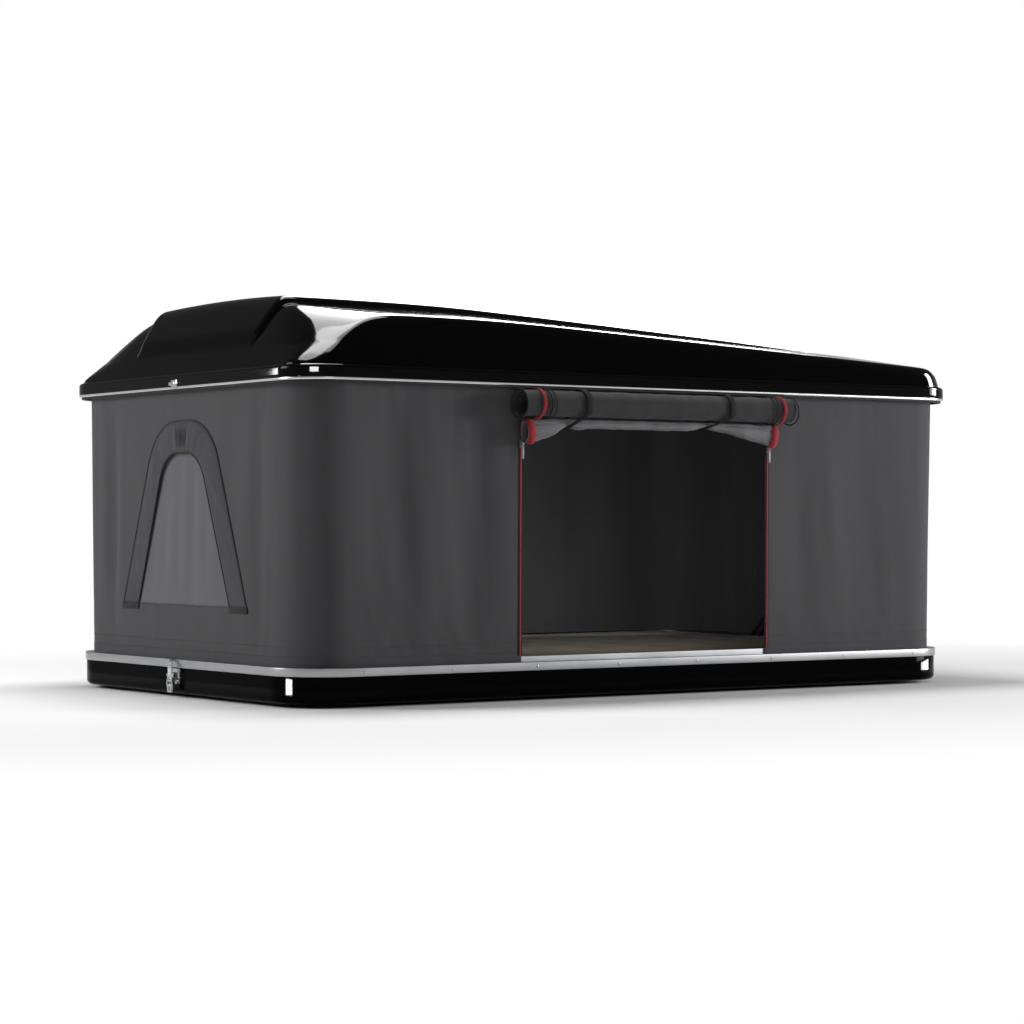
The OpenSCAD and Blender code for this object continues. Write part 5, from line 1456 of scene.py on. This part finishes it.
class TENT_OT_rolls(bpy.types.Operator):
    """Rolled-up door and net under the roof, with their straps and zip ends"""

    bl_idname = "tent.rolls"
    bl_label = "Rolled door and net"

    def execute(self, context):
        self.door_roll()
        self.net_roll()
        self.straps()
        self.rings()
        return {"FINISHED"}

    def door_roll(self):
        """The door wound into one spiral of cloth, with the seams that go round with it."""
        long, outer = ROLL_X1 - ROLL_X0, ROLL_R - 1.8
        wound = TURN * ROLL_TURNS * (ROLL_CORE + outer) / 2
        made = lines_object("door_roll_cloth", [[(0, 0, 0), (1, 0, 0)]])
        step = made.modifiers.new("roll", "NODES")
        step.node_group = roll_tree()
        set_inputs(step, {
            "Turns": ROLL_TURNS, "Core": ROLL_CORE * MM, "Radius": outer * MM, "Length": long * MM,
            "Wave": ROLL_WAVE * MM, "Steps": sizes().roll_steps, "Wound": wound * MM,
            "Recess": ROLL_RECESS * MM, "Finish": finish("roll"),
        })
        thickened(made, 2.4)
        smooth(made.data, 50)
        made.data.transform(Matrix.Translation(Vector((ROLL_X0, ROLL_Y, ROLL_Z)) * MM))
        mend(made)
        settle(made, "roof", ["door_roll"], ROLL_FOLD)
        seams = Shape()
        angles = around(48)
        first, last = ROLL_ZIP_LOW[0], ROLL_ZIP_HIGH[0]
        for x, radius in (
            (ROLL_X0 + 3, 1.8), (ROLL_X1 - 3, 1.8), (first + 27, 1.8), (first + 41, 1.4),
            (last - 25, 1.8), (last - 37, 1.4),
        ):
            seams.tube(round_roll(x + 1.5 * np.sin(2 * angles), 0.2, angles), radius, 8, True)
        settle(seams.piece("door_roll_seams", "binding"), "roof", fold=ROLL_FOLD)

    def net_roll(self):
        """The net loosely wound, open at both ends."""
        xs = np.linspace(NET_X0, NET_X1, 150)
        deep = net_depth(xs)
        rows = []
        for a in TURN * NET_TURNS * np.linspace(0, 1, 74):
            shrink = 1 - NET_SHRINK * a / TURN
            ripple = NET_RIPPLE * (waves(xs + 30 * a, (34, 57, 90, 140), 21) - 0.5)
            ripple = ripple * np.clip(deep / 30, 0.6, 2.2)
            crease = NET_CREASE * (waves(xs * 0.4 + 26 * np.sin(a) + 60 * a, (21, 37), 4) - 0.5)
            ry = net_half_width(deep) * shrink - 1.2 + ripple * 0.4
            rz = np.minimum(deep / 2 * shrink - 0.8 + ripple + crease * 0.5, deep / 2)
            turn = a + 0.6
            rows.append(line(xs, NET_Y - ry * math.cos(turn), NET_TOP - deep / 2 + rz * math.sin(turn)))
        rows = np.array(rows)
        shape = Shape()
        shape.grid(rows)
        made = mend(thickened(shape.piece("net_roll_cloth", "roll_net"), 1.2))
        settle(made, "roof", ["net_roll"], ROLL_FOLD)

    def straps(self):
        """Webbing straps round both rolls, leaning to where they pinch the net."""
        half, bevel = STRAP_W / 2, 0.8
        section = [
            (-half, 0.4), (-half + bevel, 0), (half - bevel, 0), (half, 0.4), (half, STRAP_T - 0.5),
            (half - bevel, STRAP_T), (-half + bevel, STRAP_T), (-half, STRAP_T - 0.5),
        ]
        angles = around(96)
        normals = np.column_stack([np.cos(angles), np.sin(angles)])
        shape = Shape()
        for x, lean in STRAPS:
            deep = float(net_depth(x + lean))
            circles = np.array([
                (ROLL_Y, ROLL_Z, ROLL_R + 0.8), (NET_Y, NET_TOP - deep / 2, deep / 2 + 2.5),
            ])
            # In each direction the strap lies on the circle that reaches furthest
            held = circles[np.argmax(normals @ circles[:, :2].T + circles[:, 2], axis=1)]
            rows = []
            for w, h in section:
                y, z = (held[:, :2] + normals * (held[:, 2:] + h)).T
                slip = eased(z, ROLL_Z - 22, NET_TOP - 12)
                rows.append(line(x + lean * slip + w * (1 - 0.3 * slip), y, z))
            shape.grid(rows, True, True)
        made = shape.piece("roll_webbing", "webbing", angle=50, mended=True)
        settle(made, "roof", ["roll_straps"], ROLL_FOLD)

    def rings(self):
        """Zip tape that goes round with each roll and shows as red rings."""
        angles = around(64)
        shape = Shape()
        for x in (ROLL_ZIP_LOW[0] + 5, ROLL_ZIP_HIGH[0] - 5):
            rows = [round_roll(x + w + 1.2 * np.sin(angles), h, angles) for w, h in RING_SECTION]
            shape.grid(rows, True, True)
        made = shape.piece("door_roll_zip", "zip", angle=50, mended=True)
        settle(made, "roof", ["roll_zips"], ROLL_FOLD)
        shape = Shape()
        for x, lean in ((NET_X0 + 11, -0.1), (NET_X1 - 11, 0.1)):
            deep = float(net_depth(x))
            ry, rz = net_half_width(deep), deep / 2
            rows = [
                line(x + 2.2 * w + lean * rz * np.sin(angles), NET_Y + (ry + 1.5 * h - 1) * np.cos(angles),
                     NET_TOP - rz + (rz + 1.5 * h - 3) * np.sin(angles))
                for w, h in RING_SECTION
            ]
            shape.grid(rows, True, True)
        made = shape.piece("net_roll_zip", "zip", angle=50, mended=True)
        settle(made, "roof", fold=ROLL_FOLD)


# Bed

BED_IN = 5
BED_R = 50
BED_EDGE = 12
BED_SLACK = 8
SWELL_MAX = 7
SWELL_STEPS = 20
TUFT_DEPTH = 6
TUFT_RISE = 1.5


class TENT_OT_bed(bpy.types.Operator):
    """Foam mattress in a stitched cover on its floor panel"""

    bl_idname = "tent.bed"
    bl_label = "Mattress"

    def execute(self, context):
        low, high = BED_LOW[2], BED_HIGH[2]
        points, normals = outline(BED_HIGH[0] - BED_IN, BED_HIGH[1] - BED_IN, BED_R, 64, 40, 8)
        edge, top = BED_EDGE, high - BED_SLACK
        profile = [(-edge, low)] + arc((-edge, low + edge), edge, -80, 0, 4)
        profile += arc((-edge, top - edge), edge, 0, 80, 4)
        shape = Shape()
        first = shape.sweep(profile, points, normals, closed=False)
        shape.caps(first, len(profile), len(points))
        made = shape.piece("bed_cover", "bed", angle=80)
        remesh = made.modifiers.new("even", "REMESH")
        remesh.mode, remesh.voxel_size = "VOXEL", 15 * MM
        baked(made)
        self.swell(made)
        self.quilt(made)
        settle(made, "base", ["mattress"])
        piping = Shape()
        x, y = (points + normals * 0.5).T
        for z in (low + 11, high - 19):
            piping.tube(line(x, y, z), 3.2, 8, True)
        settle(piping.piece("bed_piping", "binding"), "base")
        return {"FINISHED"}

    def swell(self, made):
        """Lets the cover swell over its foam by a short cloth run, within a cap."""
        rest = np.array([v.co for v in made.data.vertices])
        group = made.vertex_groups.new(name="held")
        held = np.where(rest[:, 2] < (BED_LOW[2] + 6) * MM)[0]
        group.add(held.tolist(), 1.0, "REPLACE")
        settings = made.modifiers.new("swell", "CLOTH").settings
        settings.use_pressure = True
        settings.uniform_pressure_force = 4
        settings.vertex_group_mass = "held"
        settings.effector_weights.gravity = 0
        settings.quality = 4
        scene = bpy.context.scene
        for step in range(SWELL_STEPS):
            scene.frame_set(step + 1)
        baked(made)
        scene.frame_set(1)
        shift = np.array([v.co for v in made.data.vertices]) - rest
        size = np.linalg.norm(shift, axis=1)[:, None]
        shift *= np.minimum(1, SWELL_MAX * MM / np.maximum(size, 1e-9))
        points = np.clip(rest + shift, BED_LOW * MM, BED_HIGH * MM)
        made.data.vertices.foreach_set("co", points.ravel())
        fine = made.modifiers.new("fine", "SUBSURF")
        fine.levels = fine.render_levels = 1
        baked(made)
        made.data.shade_smooth()

    def quilt(self, made):
        """Tufts drawn down on the top, and a UV map for the ticking."""
        mesh = made.data
        pitch = mm("tuft_pitch") * MM
        co = np.array([v.co for v in mesh.vertices])
        top = np.array([v.normal.z for v in mesh.vertices]) > 0.7
        tuft = np.cos(math.pi * co[:, 0] / pitch) ** 2 * np.cos(math.pi * co[:, 1] / pitch) ** 2
        co[:, 2] -= np.where(top, (TUFT_DEPTH * tuft**3 - TUFT_RISE) * MM, 0)
        co[:, 2] = np.minimum(co[:, 2], BED_HIGH[2] * MM)
        mesh.vertices.foreach_set("co", co.ravel())
        layer = mesh.uv_layers.get("UVMap") or mesh.uv_layers.new(name="UVMap")
        corner = np.array([loop.vertex_index for loop in mesh.loops])
        layer.data.foreach_set("uv", (co[corner][:, :2] + co[corner][:, 2:]).ravel())
        mesh.update()


# Hardware

EASE_W = 0.6


class TENT_OT_hardware(bpy.types.Operator):
    """Latches and keepers with eased edges, and finishes for the lift and rails"""

    bl_idname = "tent.hardware"
    bl_label = "Latches and lift"

    def execute(self, context):
        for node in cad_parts.values():
            slot = node.data.materials[0].name.split(".")[0]
            node.data.materials[0] = finish(SLOT_FINISH[slot])
        for end in ("front", "rear"):
            self.eased_copy(f"{end}_latch_plate", "base")
            for part in ("latch_lever", "latch_claw"):
                self.eased_copy(f"{end}_{part}", f"{end}_{part}")
            self.eased_copy(f"{end}_keeper", "roof")
        return {"FINISHED"}

    def eased_copy(self, node, body):
        """A copy of a frame node with rounded edges, in its place."""
        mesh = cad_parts[node].data.copy()
        made = put(node + "_eased", mesh)
        form = bmesh.new()
        form.from_mesh(mesh)
        bmesh.ops.remove_doubles(form, verts=form.verts, dist=0.00001)
        bmesh.ops.dissolve_limit(
            form, angle_limit=math.radians(2), verts=form.verts, edges=form.edges
        )
        form.to_mesh(mesh)
        form.free()
        mesh.shade_smooth()
        bevel = made.modifiers.new("ease", "BEVEL")
        bevel.width, bevel.segments = EASE_W * MM, 2
        bevel.limit_method, bevel.angle_limit = "ANGLE", math.radians(35)
        baked(made)
        smooth(made.data, 40)
        settle(made, body, [node])


# Stage

FLOOR_Z = -0.009
FLOOR_R = 11
COVE_R = 2

# Each lamp's place, aim and size in metres, its power in watts, and the roll of a strip or card
LAMPS = (
    ("overhead_softbox", (-0.3, 0.3, 3.6), (-0.3, 0.29, 0.0), (1.8, 1.2), 90, None),
    ("left_softbox", (-5.0, 2.6, 2.4), (-0.9, -0.1, 0.4), (2.0, 2.4), 175, None),
    ("front_softbox", (-2.2, -6.2, 3.6), (0.0, -0.3, 0.4), (2.4, 2.0), 30, None),
    ("right_softbox", (4.8, -3.2, 1.25), (0.6, -0.4, 0.4), (1.8, 1.6), 210, None),
    ("inside_bounce", (-0.02, -0.56, 0.42), (-0.02, 0.5, 0.36), (0.74, 0.3), 6, None),
    ("mattress_bounce", (0.0, 0.3, 0.17), (0.05, 0.6, 0.24), (1.4, 0.12), 1.6, None),
    ("back_card", (1.24, 2.77, 4.34), (-0.49, -0.94, 1.47), (1.6, 7.7), 650, -26.7),
    ("tail_hip_strip", (3.08, -1.3, 1.9), (0.95, -0.62, 0.82), (0.7, 0.9), 190, 0),
    ("tray_corner_strip", (-1.5, -0.46, 0.06), (-1.05, -0.545, 0.09), (0.13, 0.14), 31, 0),
    ("tray_end_strip", (1.9, -0.97, 0.05), (0.945, -0.63, 0.09), (0.5, 0.12), 35, 0),
    ("flange_corner_strip", (-2.45, -2.0, 0.94), (-1.02, -0.61, 0.815), (0.74, 0.5), 180, 0),
    ("flange_end_strip", (-1.57, 0.36, 0.875), (-1.068, -0.503, 0.815), (0.045, 0.25), 1.6, 0),
    ("flange_tail_strip", (1.83, -1.12, 0.87), (0.97, -0.635, 0.815), (0.33, 0.3), 18, 0),
)


class TENT_OT_stage(bpy.types.Operator):
    """Pale floor and backdrop, soft lamps and the camera"""

    bl_idname = "tent.stage"
    bl_label = "Stage"

    def execute(self, context):
        self.camera()
        self.floor()
        self.world()
        self.lamps()
        return {"FINISHED"}

    def camera(self):
        """The camera that was fitted to the photograph's two rims."""
        data = bpy.data.cameras.new("camera")
        data.sensor_width, data.lens, data.clip_end = 36.0, 97.0, 100
        made = put("camera", data)
        level = math.cos(CAMERA_PITCH)
        ahead = Vector((
            math.sin(CAMERA_YAW) * level, math.cos(CAMERA_YAW) * level, math.sin(CAMERA_PITCH)
        ))
        made.location = CAMERA_AT
        made.rotation_euler = ahead.to_track_quat("-Z", "Y").to_euler()
        bpy.context.scene.camera = made

    def floor(self):
        """A pale floor that runs up into a round wall, white far from the tent and behind it."""
        wall_r = FLOOR_R + COVE_R
        profile = [(r, FLOOR_Z) for r in (0.0001, 0.6, 1.2, 1.8, 2.5, 3.5, 5, 7, 9, FLOOR_R)]
        profile += [
            (FLOOR_R + COVE_R * math.sin(a), FLOOR_Z + COVE_R - COVE_R * math.cos(a))
            for a in np.linspace(0.15, math.pi / 2, 10)
        ]
        profile += [(wall_r, 3), (wall_r, 5)]
        angles = around(96)
        rings = [line(r * np.cos(angles), r * np.sin(angles), z) / MM for r, z in profile]
        shape = Shape()
        shape.grid(rings, False, True)
        shape.piece("floor", "floor")

    def world(self):
        """Faint grey light from all round."""
        scene = bpy.context.scene
        scene.world = scene.world or bpy.data.worlds.new("world")
        scene.world.use_nodes = True
        back = scene.world.node_tree.nodes["Background"]
        back.inputs["Color"].default_value = linear("#C8C8CA")
        back.inputs["Strength"].default_value = 0.3
        scene.view_settings.view_transform = "Standard"

    def lamps(self):
        """Softboxes overhead, in front and at both sides, two bounces inside the tent that show in
        no gloss, and a card and strips that show only in the gloss of the shells."""
        for name, at, aim, size, power, roll in LAMPS:
            data = bpy.data.lights.new(name, "AREA")
            data.shape, data.size, data.size_y = "RECTANGLE", *size
            data.energy = power
            made = put(name, data)
            made.location = at
            turn = (Vector(aim) - Vector(at)).to_track_quat("-Z", "Y")
            turn = turn @ Quaternion((0, 0, 1), math.radians(roll or 0))
            made.rotation_euler = turn.to_euler()
            made.visible_camera = False
            made.visible_diffuse = roll is None
            made.visible_glossy = not name.endswith("_bounce")
            if roll is not None:
                made.light_linking.receiver_collection = gloss_pieces()


# Panel and registration

# The operators, in the order in which they run
STEPS = (
    "stage", "hardware", "roof", "roof_trim", "tray", "rim", "walls", "windows", "far_door", "zips",
    "rolls", "bed",
)


class TENT_PT_panel(bpy.types.Panel):
    """Lists the tent's sizes, colours and steps"""

    bl_idname = "TENT_PT_panel"
    bl_label = "Roof top tent"
    bl_space_type = "VIEW_3D"
    bl_region_type = "UI"
    bl_category = "Tent"

    def draw(self, context):
        for group in (context.scene.tent_sizes, context.scene.tent_colours):
            for name in group.bl_rna.properties.keys():
                if name not in ("rna_type", "name"):
                    self.layout.prop(group, name)
        for step in STEPS:
            self.layout.operator(f"tent.{step}")


CLASSES = (
    TentColours, TentSizes, TENT_OT_stage, TENT_OT_hardware, TENT_OT_roof, TENT_OT_roof_trim,
    TENT_OT_tray, TENT_OT_rim, TENT_OT_walls, TENT_OT_windows, TENT_OT_far_door, TENT_OT_zips,
    TENT_OT_rolls, TENT_OT_bed, TENT_PT_panel,
)


def register():
    for kind in CLASSES:
        bpy.utils.register_class(kind)
    bpy.types.Scene.tent_sizes = PointerProperty(type=TentSizes)
    bpy.types.Scene.tent_colours = PointerProperty(type=TentColours)


def unregister():
    del bpy.types.Scene.tent_sizes
    del bpy.types.Scene.tent_colours
    for kind in reversed(CLASSES):
        bpy.utils.unregister_class(kind)


def main():
    register()
    for step in STEPS:
        getattr(bpy.ops.tent, step)()


if __name__ == "__main__":
    main()
